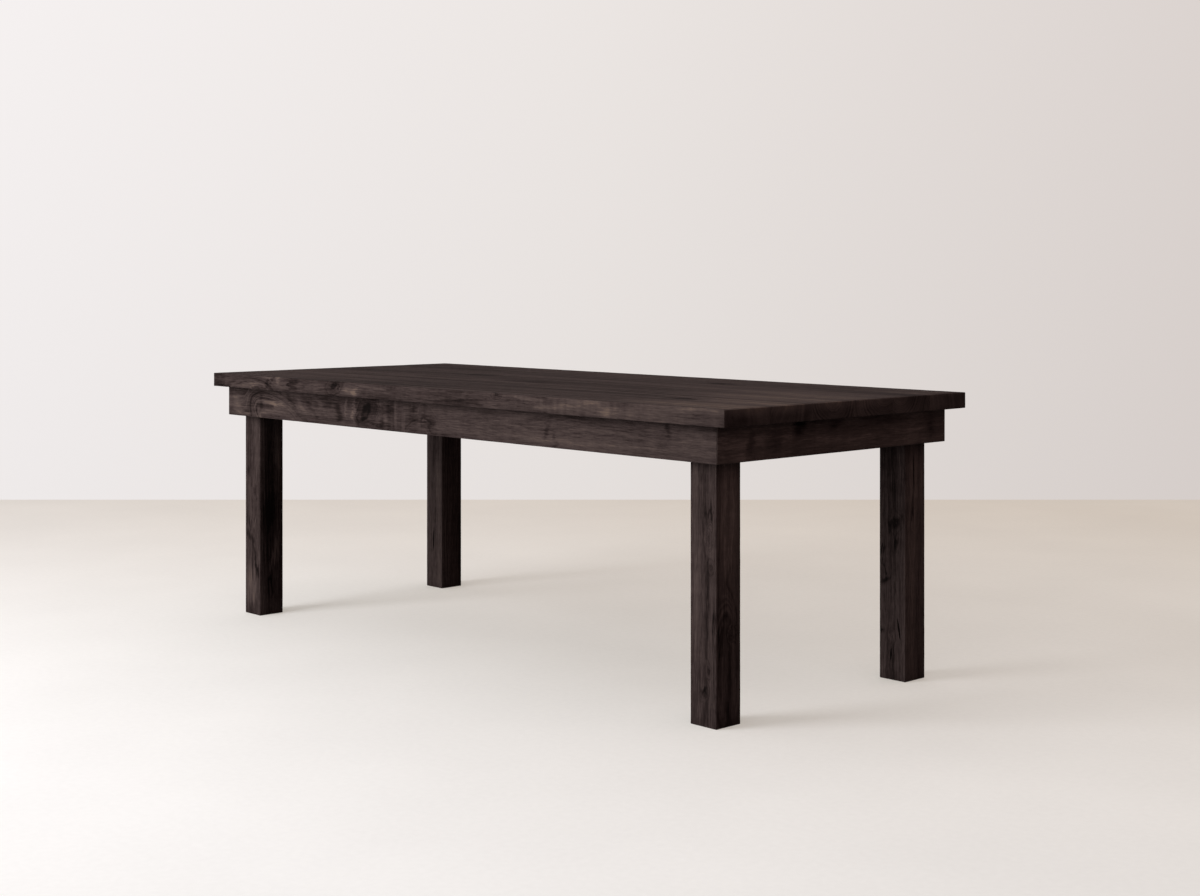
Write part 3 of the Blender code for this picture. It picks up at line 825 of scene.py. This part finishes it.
def clip_piece(node, steel):
    """A bent strip of steel, with its edges broken."""
    bm = cad_copy(node)
    edges = [edge for edge in bm.edges if edge.calc_face_angle(0.0) > CLIP_CORNER]
    bmesh.ops.bevel(bm, geom=edges, offset=CLIP_ARRIS, segments=2, profile=0.5, affect="EDGES")
    add_piece(node, bm, steel)


# The studio

FLOOR_FAR = 8.63
FLOOR_BEHIND = 8.0
FLOOR_HALF_WIDTH = 14.0
# The floor's colours fade from far to near along a direction, given ahead of the camera and to its right.
# This is painted light: the floor is paler towards the near left, on the lamps' side, and darker and
# warmer far off
FLOOR_COLOURS = ((0.792, 0.728, 0.656), (0.920, 0.914, 0.908))
FLOOR_FADE = (-3.1, 2.5)
FLOOR_FADE_WAY = (-0.77, -0.64)
FLOOR_MIDDLE = 6.0
FLOOR_BOUNCE = 0.12
FLOOR_GLOW = 0.37
FLOOR_GLOW_TINT = Vector((1.05, 1.0, 0.91))
CLOUD = (1.6, 4.0)
CLOUD_WEIGHT = 0.10
GRIT = (60.0, 3.0)
GRIT_WEIGHT = 0.06
PLASTER_ROUGHNESS = 0.9
PLASTER_SPECULAR = 0.1
# The wall from the camera's right to its left, with painted light: paler to the left, on the lamps' side
WALL_COLOURS = (
    (0.0, (0.31, 0.28, 0.26)),
    (0.34, (0.685, 0.630, 0.605)),
    (0.5, (0.800, 0.757, 0.735)),
    (0.66, (0.885, 0.850, 0.846)),
    (1.0, (1.0, 0.98, 0.97)),
)
# Painted light: the wall is paler higher up
WALL_FALLOFF = 0.25
# The room's light, from the dim side to the bright one
FILL_COLOURS = (
    (0.0, (0.10, 0.07, 0.06)),
    (0.3, (0.42, 0.265, 0.245)),
    (0.55, (0.86, 0.70, 0.64)),
    (0.8, (0.90, 0.87, 0.85)),
    (1.0, (1.0, 0.98, 0.97)),
)
FILL_DIRECTION = Vector((-0.60, -0.40, 0.69)).normalized()
AMBIENT = 0.68
LAMP_TARGET = Vector((0, 0, 0.4))
LAMPS = {
    "key": {
        "direction": Vector((-0.28, -0.85, 0.44)), "distance": 5.3,
        "width": 2.2, "height": 2.4, "power": 160.0,
    },
    "card": {
        "direction": Vector((-0.25, -1.0, 0.07)), "distance": 6.0,
        "width": 3.0, "height": 0.7, "power": 110.0,
    },
}


def make_camera():
    data = bpy.data.cameras.new("camera")
    data.sensor_width = SENSOR_WIDTH
    data.lens = FOCAL_PIXELS * SENSOR_WIDTH / IMAGE_WIDTH
    data.shift_y = (HORIZON_ROW - IMAGE_HEIGHT / 2) / IMAGE_WIDTH
    camera = bpy.data.objects.new("camera", data)
    camera.location = CAMERA_PLACE
    camera.rotation_euler = (math.pi / 2, 0, CAMERA_AZIMUTH)
    bpy.context.scene.collection.objects.link(camera)
    bpy.context.scene.camera = camera


def make_floor():
    """A pale plastered floor that ends at the photograph's back wall."""
    bm = bmesh.new()
    bmesh.ops.create_grid(bm, x_segments=1, y_segments=1, size=0.5)
    bmesh.ops.scale(bm, vec=(2 * FLOOR_HALF_WIDTH, FLOOR_FAR + FLOOR_BEHIND, 1), verts=bm.verts)
    bmesh.ops.translate(bm, vec=(0, (FLOOR_FAR - FLOOR_BEHIND) / 2, 0), verts=bm.verts)
    turn = Matrix.Rotation(CAMERA_AZIMUTH, 4, "Z")
    stand = Matrix.Translation((CAMERA_PLACE.x, CAMERA_PLACE.y, 0))
    bmesh.ops.transform(bm, matrix=stand @ turn, verts=bm.verts)
    mesh = bpy.data.meshes.new("floor")
    bm.to_mesh(mesh)
    bm.free()
    floor = bpy.data.objects.new("floor", mesh)
    bpy.context.scene.collection.objects.link(floor)
    mesh.materials.append(floor_material())


def floor_material():
    """Pale plaster. Its bounce onto the table is held down, and part of what the camera sees is even.

    The even part is warmer than the lit part, which warms the shadows. Its colour also holds a painted
    fall-off of light, paler towards the near left.
    """
    material, graph, shader = new_material("pale_plaster")
    position = graph.add("TexCoord").outputs["Object"]
    ahead = Vector((-math.sin(CAMERA_AZIMUTH), math.cos(CAMERA_AZIMUTH), 0))
    right = Vector((ahead.y, -ahead.x, 0))
    fade_way = (ahead * FLOOR_FADE_WAY[0] + right * FLOOR_FADE_WAY[1]).normalized()
    middle = CAMERA_PLACE + ahead * FLOOR_MIDDLE
    away = graph.vector("DOT_PRODUCT", graph.vector("SUBTRACT", position, middle), fade_way)
    far, near = FLOOR_FADE
    share = graph.add("MapRange", {"Value": away, "From Min": far, "From Max": near}).outputs["Result"]
    pale = graph.mix(share, *[(*colour, 1.0) for colour in FLOOR_COLOURS])
    cloud = graph.noise(position, *CLOUD)
    grit = graph.noise(position, *GRIT)
    plaster = graph.vector("SCALE", pale, graph.sum(1.0, (CLOUD_WEIGHT, cloud), (GRIT_WEIGHT, grit)))
    seen = graph.seen()
    levels = {"Value": seen, "To Min": FLOOR_BOUNCE, "To Max": 1 - FLOOR_GLOW}
    level = graph.add("MapRange", levels).outputs["Result"]
    lit_tint = Vector((1 - FLOOR_GLOW * tint) / (1 - FLOOR_GLOW) for tint in FLOOR_GLOW_TINT)
    lit = graph.vector("MULTIPLY", plaster, lit_tint)
    graph.feed(shader.inputs["Base Color"], graph.vector("SCALE", lit, level))
    graph.feed(shader.inputs["Emission Color"], graph.vector("MULTIPLY", plaster, FLOOR_GLOW_TINT))
    graph.feed(shader.inputs["Emission Strength"], graph.math("MULTIPLY", seen, FLOOR_GLOW))
    shader.inputs["Roughness"].default_value = PLASTER_ROUGHNESS
    shader.inputs["Specular IOR Level"].default_value = PLASTER_SPECULAR
    return material


def make_lamp(name, direction, distance, width, height, power):
    """A wide soft lamp that faces the table."""
    lamp = bpy.data.lights.new(name, "AREA")
    lamp.shape = "RECTANGLE"
    lamp.size = width
    lamp.size_y = height
    lamp.energy = power
    place = bpy.data.objects.new(name, lamp)
    place.location = LAMP_TARGET + direction.normalized() * distance
    place.rotation_euler = direction.to_track_quat("Z", "Y").to_euler()
    bpy.context.scene.collection.objects.link(place)


def make_world():
    """A pale room. The camera sees its wall, with light and shade painted on it, and the table is lit from
    above and more from the left.
    """
    world = bpy.data.worlds.new("room")
    world.use_nodes = True
    bpy.context.scene.world = world
    graph = Graph(world.node_tree)
    background = world.node_tree.nodes["Background"]
    direction = graph.add("TexCoord").outputs["Generated"]
    camera_left = Vector((-math.cos(CAMERA_AZIMUTH), -math.sin(CAMERA_AZIMUTH), 0))

    def toward(axis):
        """From 0 straight away from an axis to 1 straight along it."""
        return graph.math("MULTIPLY_ADD", graph.vector("DOT_PRODUCT", direction, axis), 0.5, 0.5)

    wall = graph.ramp(toward(camera_left), WALL_COLOURS)
    height = graph.vector("DOT_PRODUCT", direction, AXIS_Z)
    wall = graph.vector("SCALE", wall, graph.math("MULTIPLY_ADD", height, WALL_FALLOFF, 1.0))
    fill = graph.vector("SCALE", graph.ramp(toward(FILL_DIRECTION), FILL_COLOURS), AMBIENT)
    graph.feed(background.inputs["Color"], graph.mix(graph.seen(), fill, wall))


# The table

# The first plank has the front edge, and the last one the back edge
PLANK_1_MARKS = marks_on(front=[
    ("tone", 0.01, 0.5, (0.06, 0.04), -0.18),
    ("bold", 0.13, 0.5, (0.26, 0.06), 0.4),
    ("tone", 0.085, 0.78, (0.1, 0.014), 0.38, 3),
    ("tone", 0.112, 0.74, (0.03, 0.016), 0.3, 40),
    ("rings", 0.1, 1.1, (0.16, 0.05), 0.022),
    ("dark", 0.14, 0.62, (0.024, 0.012), 0.34, 60),
    ("dark", 0.152, 0.36, (0.026, 0.011), 0.34, 50),
    ("tone", 0.166, 0.42, (0.018, 0.014), 0.36, 60),
    ("tone", 0.155, 0.1, (0.05, 0.006), 0.24),
    ("dark", 0.188, 0.45, (0.034, 0.01), 0.24, 35),
    ("tone", 0.196, 0.5, (0.056, 0.04), -0.24),
    ("dark", 0.28, 0.62, (0.09, 0.006), 0.25, 4),
    ("knot", 0.3, 0.28, (0.017, 0.01), 0.75, 20),
    ("dark", 0.311, 0.34, (0.016, 0.006), 0.24, 80),
    ("tone", 0.34, 0.6, (0.06, 0.018), 0.36),
    ("tone", 0.346, 0.7, (0.028, 0.016), 0.34, 45),
    ("tone", 0.38, 0.24, (0.11, 0.005), 0.24, -4),
    ("dark", 0.55, 0.66, (0.2, 0.006), 0.16, 3),
    ("tone", 0.56, 0.5, (0.19, 0.05), -0.22),
    ("knot", 0.633, 0.08, (0.009, 0.005), 0.7),
    ("tone", 0.625, 0.72, (0.06, 0.012), 0.2, 3),
    ("tone", 0.69, 0.2, (0.06, 0.008), 0.24),
    ("tone", 0.735, 0.55, (0.09, 0.014), 0.2, 4),
    ("tone", 0.755, 0.5, (0.1, 0.05), 0.12),
    ("tone", 0.9, 0.5, (0.15, 0.05), 0.08),
    ("tone", 0.79, 0.3, (0.1, 0.016), 0.26),
    ("tone", 0.825, 0.6, (0.07, 0.016), 0.22, 4),
    ("tone", 0.822, 0.55, (0.03, 0.024), 0.1, 80),
    ("curl", 0.78, 0.5, (0.34, 0.06), 0.3),
], top=[
    # The top is paler towards its right end, here and on the next three planks
    ("tone", 0.97, 0.4, (0.45, 0.13), 0.36),
], right=[
    ("bold", 0.45, 0.5, (0.16, 0.06), -0.08),
    ("tone", 0.4, 0.6, (0.14, 0.05), -0.12),
])

PLANK_2_MARKS = marks_on(top=[
    ("dark", 0.84, 0.62, (0.12, 0.016), 0.35),
    ("knot", 0.85, 0.62, (0.05, 0.02), 1.0),
    ("tone", 0.95, 0.5, (0.46, 0.14), 0.36),
    ("dark", 0.64, 0.55, (0.2, 0.03), 0.16),
])

PLANK_3_MARKS = marks_on(top=[
    ("dark", 0.49, 0.35, (0.16, 0.045), 0.22),
    ("dark", 0.3, 0.6, (0.22, 0.03), 0.14),
    ("tone", 0.92, 0.5, (0.46, 0.14), 0.37),
], right=[
    ("tone", 0.5, 0.5, (0.12, 0.06), 0.12),
])

PLANK_4_MARKS = marks_on(top=[
    ("dark", 0.31, 0.52, (0.13, 0.05), 0.24),
    ("tone", 0.92, 0.5, (0.44, 0.12), 0.31),
])

PLANK_5_MARKS = marks_on(top=[
    ("dark", 0.685, 0.25, (0.1, 0.03), 0.25),
    ("dark", 0.72, 0.45, (0.08, 0.025), 0.2),
    ("knot", 0.682, 0.3, (0.03, 0.018), 0.9),
])

PLANK_6_MARKS = marks_on(back=[
    ("tone", 0.18, 0.4, (0.12, 0.016), 0.26),
    ("knot", 0.42, 0.45, (0.015, 0.009), 0.8, 15),
    ("dark", 0.46, 0.5, (0.1, 0.007), 0.25, 3),
    ("tone", 0.66, 0.6, (0.09, 0.016), 0.24),
    ("curl", 0.82, 0.5, (0.3, 0.06), 0.3),
], right=[
    ("tone", 0.5, 0.5, (0.14, 0.06), -0.12),
])

FRONT_APRON_MARKS = marks_on(front=[
    ("bold", 0.09, 0.5, (0.18, 0.1), 0.9),
    ("tone", 0.024, 0.62, (0.054, 0.026), 0.16, -55),
    ("tone", 0.042, 0.88, (0.04, 0.014), 0.2, -20),
    ("tone", 0.07, 0.5, (0.12, 0.05), -0.16),
    ("rings", 0.122, 0.74, (0.175, 0.072), 0.05, -14),
    ("dark", 0.09, 0.45, (0.044, 0.013), 0.24, 78),
    ("tone", 0.13, 0.42, (0.07, 0.022), 0.12, -12),
    ("tone", 0.13, 0.52, (0.03, 0.016), 0.24, -40),
    ("dark", 0.172, 0.42, (0.07, 0.015), 0.24, -46),
    ("tone", 0.196, 0.52, (0.064, 0.013), 0.18, -44),
    ("dark", 0.22, 0.58, (0.064, 0.013), 0.22, -42),
    ("tone", 0.245, 0.45, (0.06, 0.014), 0.12, -44),
    ("dark", 0.286, 0.58, (0.04, 0.026), 0.38, 86),
    ("tone", 0.304, 0.4, (0.05, 0.009), 0.22, 86),
    ("tone", 0.321, 0.48, (0.05, 0.011), 0.3, 82),
    ("dark", 0.331, 0.75, (0.034, 0.01), 0.36, 78),
    ("knot", 0.35, 0.46, (0.037, 0.02), 1.0, 40),
    ("dark", 0.385, 0.8, (0.05, 0.016), 0.25, 20),
    ("dark", 0.395, 0.26, (0.03, 0.018), 0.24, 75),
    ("curl", 0.43, 0.5, (0.15, 0.09), 0.6),
    ("bold", 0.47, 0.5, (0.1, 0.06), 0.3),
    ("rings", 0.462, 0.95, (0.07, 0.05), 0.014, 20),
    ("rings", 0.485, 0.4, (0.06, 0.03), 0.012, -30),
    ("dark", 0.452, 0.36, (0.036, 0.02), 0.12, 60),
    ("dark", 0.478, 0.6, (0.04, 0.016), 0.14, -35),
    ("tone", 0.52, 0.6, (0.1, 0.03), 0.06),
    ("dark", 0.718, 0.58, (0.036, 0.012), 0.26, 80),
    ("dark", 0.731, 0.66, (0.03, 0.009), 0.22, 100),
    ("dark", 0.737, 0.92, (0.018, 0.012), 0.3, 60),
    ("dark", 0.925, 0.22, (0.032, 0.013), 0.26, 85),
    ("tone", 0.9, 0.6, (0.03, 0.026), 0.12, 80),
    ("tone", 0.975, 0.5, (0.15, 0.06), 0.16),
])

RIGHT_APRON_MARKS = marks_on(right=[
    # The dark marks near the top edge are partly dark wood and partly painted shadow under the top's
    # overhang
    ("tone", 0.02, 0.6, (0.04, 0.05), 0.16),
    ("tone", 0.085, 0.7, (0.046, 0.036), 0.2, 80),
    ("tone", 0.115, 0.86, (0.034, 0.022), 0.18, 50),
    ("dark", 0.13, 0.55, (0.044, 0.018), 0.34, 78),
    ("tone", 0.172, 0.55, (0.05, 0.026), 0.13, 75),
    ("dark", 0.23, 0.45, (0.05, 0.034), 0.24, 85),
    ("tone", 0.28, 0.72, (0.046, 0.036), 0.1, 70),
    ("dark", 0.33, 0.14, (0.05, 0.034), 0.54, 55),
    ("tone", 0.33, 0.5, (0.08, 0.06), -0.14),
    ("dark", 0.4, 0.04, (0.1, 0.02), 0.3, 3),
    ("dark", 0.49, 0.06, (0.06, 0.034), 0.4, 50),
    ("tone", 0.42, 0.6, (0.12, 0.026), 0.16, 5),
    ("tone", 0.58, 0.62, (0.14, 0.026), 0.16, 6),
    ("dark", 0.7, 0.16, (0.14, 0.022), 0.34, -4),
    ("tone", 0.775, 0.6, (0.08, 0.05), 0.16),
    ("tone", 0.845, 0.66, (0.07, 0.05), 0.18, 70),
    ("dark", 0.93, 0.45, (0.05, 0.024), 0.26, 85),
])

# The photograph doesn't show these two
BACK_APRON_MARKS = marks_on(back=[
    ("tone", 0.1, 0.55, (0.12, 0.03), 0.2),
    ("dark", 0.21, 0.45, (0.05, 0.026), 0.24, 80),
    ("knot", 0.235, 0.42, (0.03, 0.016), 0.9, 25),
    ("dark", 0.5, 0.3, (0.16, 0.012), 0.24, 3),
    ("knot", 0.715, 0.62, (0.012, 0.008), 0.7),
    ("tone", 0.76, 0.6, (0.1, 0.024), 0.2, -4),
    ("curl", 0.88, 0.5, (0.2, 0.09), 0.5),
])

LEFT_APRON_MARKS = marks_on(left=[
    ("tone", 0.14, 0.6, (0.06, 0.03), 0.24, 70),
    ("dark", 0.36, 0.4, (0.1, 0.012), 0.26, 4),
    ("knot", 0.62, 0.55, (0.02, 0.012), 0.8, 20),
    ("tone", 0.7, 0.55, (0.07, 0.022), 0.22, -5),
])

# The legs' marks are measured from the top of the leg, behind the apron
FRONT_LEFT_LEG_MARKS = marks_on(front=[
    ("dark", 0.25, 0.39, (0.05, 0.012), 0.36, 90),
    ("tone", 0.5, 0.26, (0.12, 0.05), -0.1, 90),
    ("tone", 0.82, 0.28, (0.12, 0.018), 0.12, 88),
    ("knot", 0.63, 0.457, (0.01, 0.006), 0.6, 90),
    ("dark", 0.22, 0.575, (0.05, 0.014), 0.34, -50),
    ("tone", 0.55, 0.6, (0.05, 0.014), 0.24, -55),
    ("dark", 0.35, 0.65, (0.05, 0.014), 0.3, -45),
    ("dark", 0.75, 0.77, (0.06, 0.012), 0.42, -68),
    ("tone", 0.45, 0.885, (0.065, 0.04), 0.3, 90),
    # Painted shade: darker at the foot
    ("tone", 0.5, 1.0, (0.05, 0.05), -0.1, 90),
], right=[
    # Painted shade: this darker tone covers the right face, which faces in under the table
    ("tone", 0.5, 0.6, (0.42, 0.07), -0.26, 90),
    ("dark", 0.4, 0.55, (0.09, 0.034), 0.3, 80),
    ("tone", 0.62, 0.74, (0.08, 0.022), 0.4, 72),
    ("dark", 0.46, 0.86, (0.04, 0.012), 0.45, 105),
    ("tone", 0.75, 0.3, (0.08, 0.018), 0.3, 88),
], left=[
    ("knot", 0.4, 0.52, (0.014, 0.009), 0.8, 80),
    ("tone", 0.6, 0.72, (0.14, 0.024), 0.2, 90),
], back=[
    ("dark", 0.45, 0.6, (0.12, 0.01), 0.28, 88),
])

FRONT_RIGHT_LEG_MARKS = marks_on(front=[
    ("tone", 0.5, 0.14, (0.1, 0.06), -0.05, 90),
    ("dark", 0.82, 0.275, (0.034, 0.01), 0.36, 68),
    ("dark", 0.72, 0.295, (0.022, 0.01), 0.26, 30),
    ("rings", 0.74, 0.375, (0.05, 0.02), 0.028, 90),
    ("knot", 0.72, 0.379, (0.008, 0.005), 0.25, 90),
    ("knot", 0.8, 0.471, (0.009, 0.005), 0.55, 90),
    ("dark", 0.7, 0.52, (0.09, 0.006), 0.24, 94),
    ("dark", 0.92, 0.66, (0.06, 0.01), 0.34, 85),
    ("knot", 0.72, 0.815, (0.008, 0.005), 0.5, 90),
    ("knot", 0.55, 0.888, (0.01, 0.006), 0.55, 60),
    ("dark", 0.5, 0.88, (0.02, 0.007), 0.36, 40),
    ("tone", 0.28, 0.6, (0.2, 0.024), 0.1, 90),
    # Painted shade: darker at the foot
    ("tone", 0.5, 1.0, (0.1, 0.06), -0.05, 90),
], right=[
    ("tone", 0.5, 0.25, (0.22, 0.06), 0.3, 90),
    # Painted shade: darker towards the foot
    ("tone", 0.5, 0.79, (0.16, 0.06), -0.22, 90),
    ("rings", 0.5, 0.82, (0.22, 0.055), 0.036, 90),
    ("bold", 0.5, 0.62, (0.16, 0.06), 0.35, 90),
    ("tone", 0.45, 0.45, (0.06, 0.026), 0.2, 90),
    ("dark", 0.2, 0.7, (0.07, 0.018), 0.4, 76),
    # Painted shade: darker at the foot
    ("tone", 0.5, 1.0, (0.08, 0.06), -0.26, 90),
], back=[
    ("knot", 0.35, 0.66, (0.012, 0.008), 0.7, 90),
], left=[
    ("dark", 0.55, 0.48, (0.12, 0.01), 0.28, 92),
])

BACK_RIGHT_LEG_MARKS = marks_on(front=[
    # Painted shade: these two darker tones cover the front face, which stands under the table
    ("tone", 0.5, 0.14, (0.18, 0.06), -0.14, 90),
    ("tone", 0.5, 0.56, (0.44, 0.12), -0.14, 90),
    ("dark", 0.6, 0.425, (0.034, 0.026), 0.26),
    ("dark", 0.4, 0.415, (0.026, 0.01), 0.22, 15),
    ("knot", 0.66, 0.42, (0.013, 0.01), 0.75, 60),
    ("dark", 0.66, 0.48, (0.034, 0.012), 0.34, 85),
    ("dark", 0.12, 0.52, (0.034, 0.014), 0.4, 65),
    ("dark", 0.22, 0.6, (0.026, 0.009), 0.46, -50),
    ("dark", 0.25, 0.635, (0.02, 0.009), 0.4, 25),
    ("check", 0.75, 0.81, (0.034, 0.0035), 0.8, 100),
    ("knot", 0.06, 0.82, (0.005, 0.004), 1.0),
    ("check", 0.45, 0.905, (0.018, 0.003), 0.7, 85),
    # Painted shade: darker at the foot
    ("tone", 0.5, 1.0, (0.18, 0.06), -0.18, 90),
], right=[
    ("check", 0.44, 0.235, (0.06, 0.0025), 0.85, 91),
    ("dark", 0.42, 0.24, (0.13, 0.006), 0.4, 90),
    ("dark", 0.36, 0.355, (0.038, 0.011), 0.55, 84),
    # Painted light: these two paler tones cover the right face, which faces the dim side
    ("tone", 0.5, 0.22, (0.16, 0.06), 0.24, 90),
    ("tone", 0.45, 0.55, (0.36, 0.06), 0.24, 90),
    # Painted shade: darker towards the foot
    ("tone", 0.5, 0.75, (0.12, 0.06), -0.12, 90),
], back=[
    ("tone", 0.4, 0.45, (0.14, 0.022), 0.22, 90),
    ("knot", 0.62, 0.7, (0.014, 0.009), 0.8, 85),
])

BACK_LEFT_LEG_MARKS = marks_on(front=[
    ("tone", 0.68, 0.5, (0.12, 0.018), 0.2, 90),
    ("check", 0.45, 0.77, (0.048, 0.004), 0.8, 87),
], back=[
    ("dark", 0.6, 0.35, (0.1, 0.01), 0.3, 86),
    ("knot", 0.38, 0.57, (0.012, 0.008), 0.8, 90),
], left=[
    ("tone", 0.45, 0.55, (0.16, 0.026), 0.22, 90),
    ("check", 0.62, 0.84, (0.04, 0.003), 0.8, 91),
])

BOARDS = {
    "top_plank_1": Board(AXIS_X, (0, 0.28, 0.03), tone=0.465, marks=PLANK_1_MARKS),
    "top_plank_2": Board(AXIS_X, (0, -0.24, 0.06), tone=0.495, bold=0.6, marks=PLANK_2_MARKS),
    "top_plank_3": Board(AXIS_X, (0, 0.004, 0.038), tone=0.435, bold=0.8, marks=PLANK_3_MARKS),
    "top_plank_4": Board(AXIS_X, (0, 0.05, 0.036), tone=0.475, bold=0.8, marks=PLANK_4_MARKS),
    "top_plank_5": Board(AXIS_X, (0, -0.05, 0.04), tone=0.445, bold=0.8, marks=PLANK_5_MARKS),
    "top_plank_6": Board(AXIS_X, (0, -0.26, -0.05), tone=0.475, bold=0.6, marks=PLANK_6_MARKS),
    "apron_front": Board(AXIS_X, (0, 0.07, 0.03), bold=0.45, marks=FRONT_APRON_MARKS),
    # The right apron's tone is raised: partly its own paler wood, partly painted light on an end that
    # faces the dim side
    "apron_right": Board(AXIS_Y, (-0.08, 0, 0.02), tone=0.68, marks=RIGHT_APRON_MARKS, tones=STAINED_IN_SHADE),
    "apron_back": Board(AXIS_X, (0, -0.08, -0.02), marks=BACK_APRON_MARKS),
    "apron_left": Board(AXIS_Y, (0.08, 0, 0.01), marks=LEFT_APRON_MARKS),
    "leg_front_left": Board(AXIS_Z, (0.06, 0.05, 0), marks=FRONT_LEFT_LEG_MARKS),
    "leg_front_right": Board(
        AXIS_Z, (-0.06, 0.06, 0), tone=0.48, marks=FRONT_RIGHT_LEG_MARKS, tones=STAINED_IN_SHADE
    ),
    # The back right leg's tone is lowered: painted shade, as it stands under the table
    "leg_back_right": Board(
        AXIS_Z, (-0.07, 0.05, 0), tone=0.44, marks=BACK_RIGHT_LEG_MARKS, tones=STAINED_IN_SHADE
    ),
    "leg_back_left": Board(AXIS_Z, (0.07, 0.06, 0), tone=0.47, marks=BACK_LEFT_LEG_MARKS),
    "cross_brace_1": Board(AXIS_Y, (0.03, 0, 0.08)),
    "cross_brace_2": Board(AXIS_Y, (0.05, 0, -0.08)),
}

# Each corner as the direction to it from the table's middle
CORNERS = {
    "front_left": -AXIS_X - AXIS_Y,
    "front_right": AXIS_X - AXIS_Y,
    "back_right": AXIS_X + AXIS_Y,
    "back_left": AXIS_Y - AXIS_X,
}
TONGUE_COUNT = 5
CLIP_COUNT = 6

# Where the heart of the small pieces' logs is
TONGUE_HEART = (0, 0.05, 0.06)
KEY_HEART_OUT = 0.05
BLOCK_HEART_OUT = 0.05
BLOCK_HEART_UP = 0.06
# The seeds of a kind of piece count on from these
BOARD_SEED = 1
TONGUE_SEED = 21
KEY_SEED = 30
BLOCK_SEED = 40


def assign(node, material):
    """Gives a material to a CAD node that stays as it is."""
    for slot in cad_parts[node].material_slots:
        slot.material = material


def dress_corner(i, corner, outward, steel):
    """The mitre's key, the block behind the leg, and the bolts and nuts that hold it."""
    key = "mitre_key_" + corner
    assign(key, wood_material(key, Board(AXIS_Z, outward * KEY_HEART_OUT, tones=BEECH), KEY_SEED + i))
    block = "corner_block_" + corner
    heart = outward * BLOCK_HEART_OUT + AXIS_Z * BLOCK_HEART_UP
    board = Board(outward.cross(AXIS_Z), heart)
    board_piece(block, board, wood_material(block, board, BLOCK_SEED + i))
    for level in ("lower", "upper"):
        bolt_piece(f"hanger_bolt_{corner}_{level}", -outward, steel)
        nut_piece(f"flange_nut_{corner}_{level}", -outward, steel)


def main():
    bpy.context.scene.view_settings.view_transform = "Standard"
    make_camera()
    make_floor()
    for name, lamp in LAMPS.items():
        make_lamp(name, **lamp)
    make_world()
    for i, (node, board) in enumerate(BOARDS.items()):
        board_piece(node, board, wood_material(node, board, BOARD_SEED + i))
    for i in range(TONGUE_COUNT):
        node = f"top_tongue_{i + 1}"
        assign(node, wood_material(node, Board(AXIS_X, TONGUE_HEART, tones=BEECH), TONGUE_SEED + i))
    steel = steel_material()
    for i, (corner, outward) in enumerate(CORNERS.items()):
        dress_corner(i, corner, outward.normalized(), steel)
    for i in range(CLIP_COUNT):
        clip_piece(f"top_clip_{i + 1}", steel)
        screw_piece(f"clip_screw_{i + 1}", steel)


main()
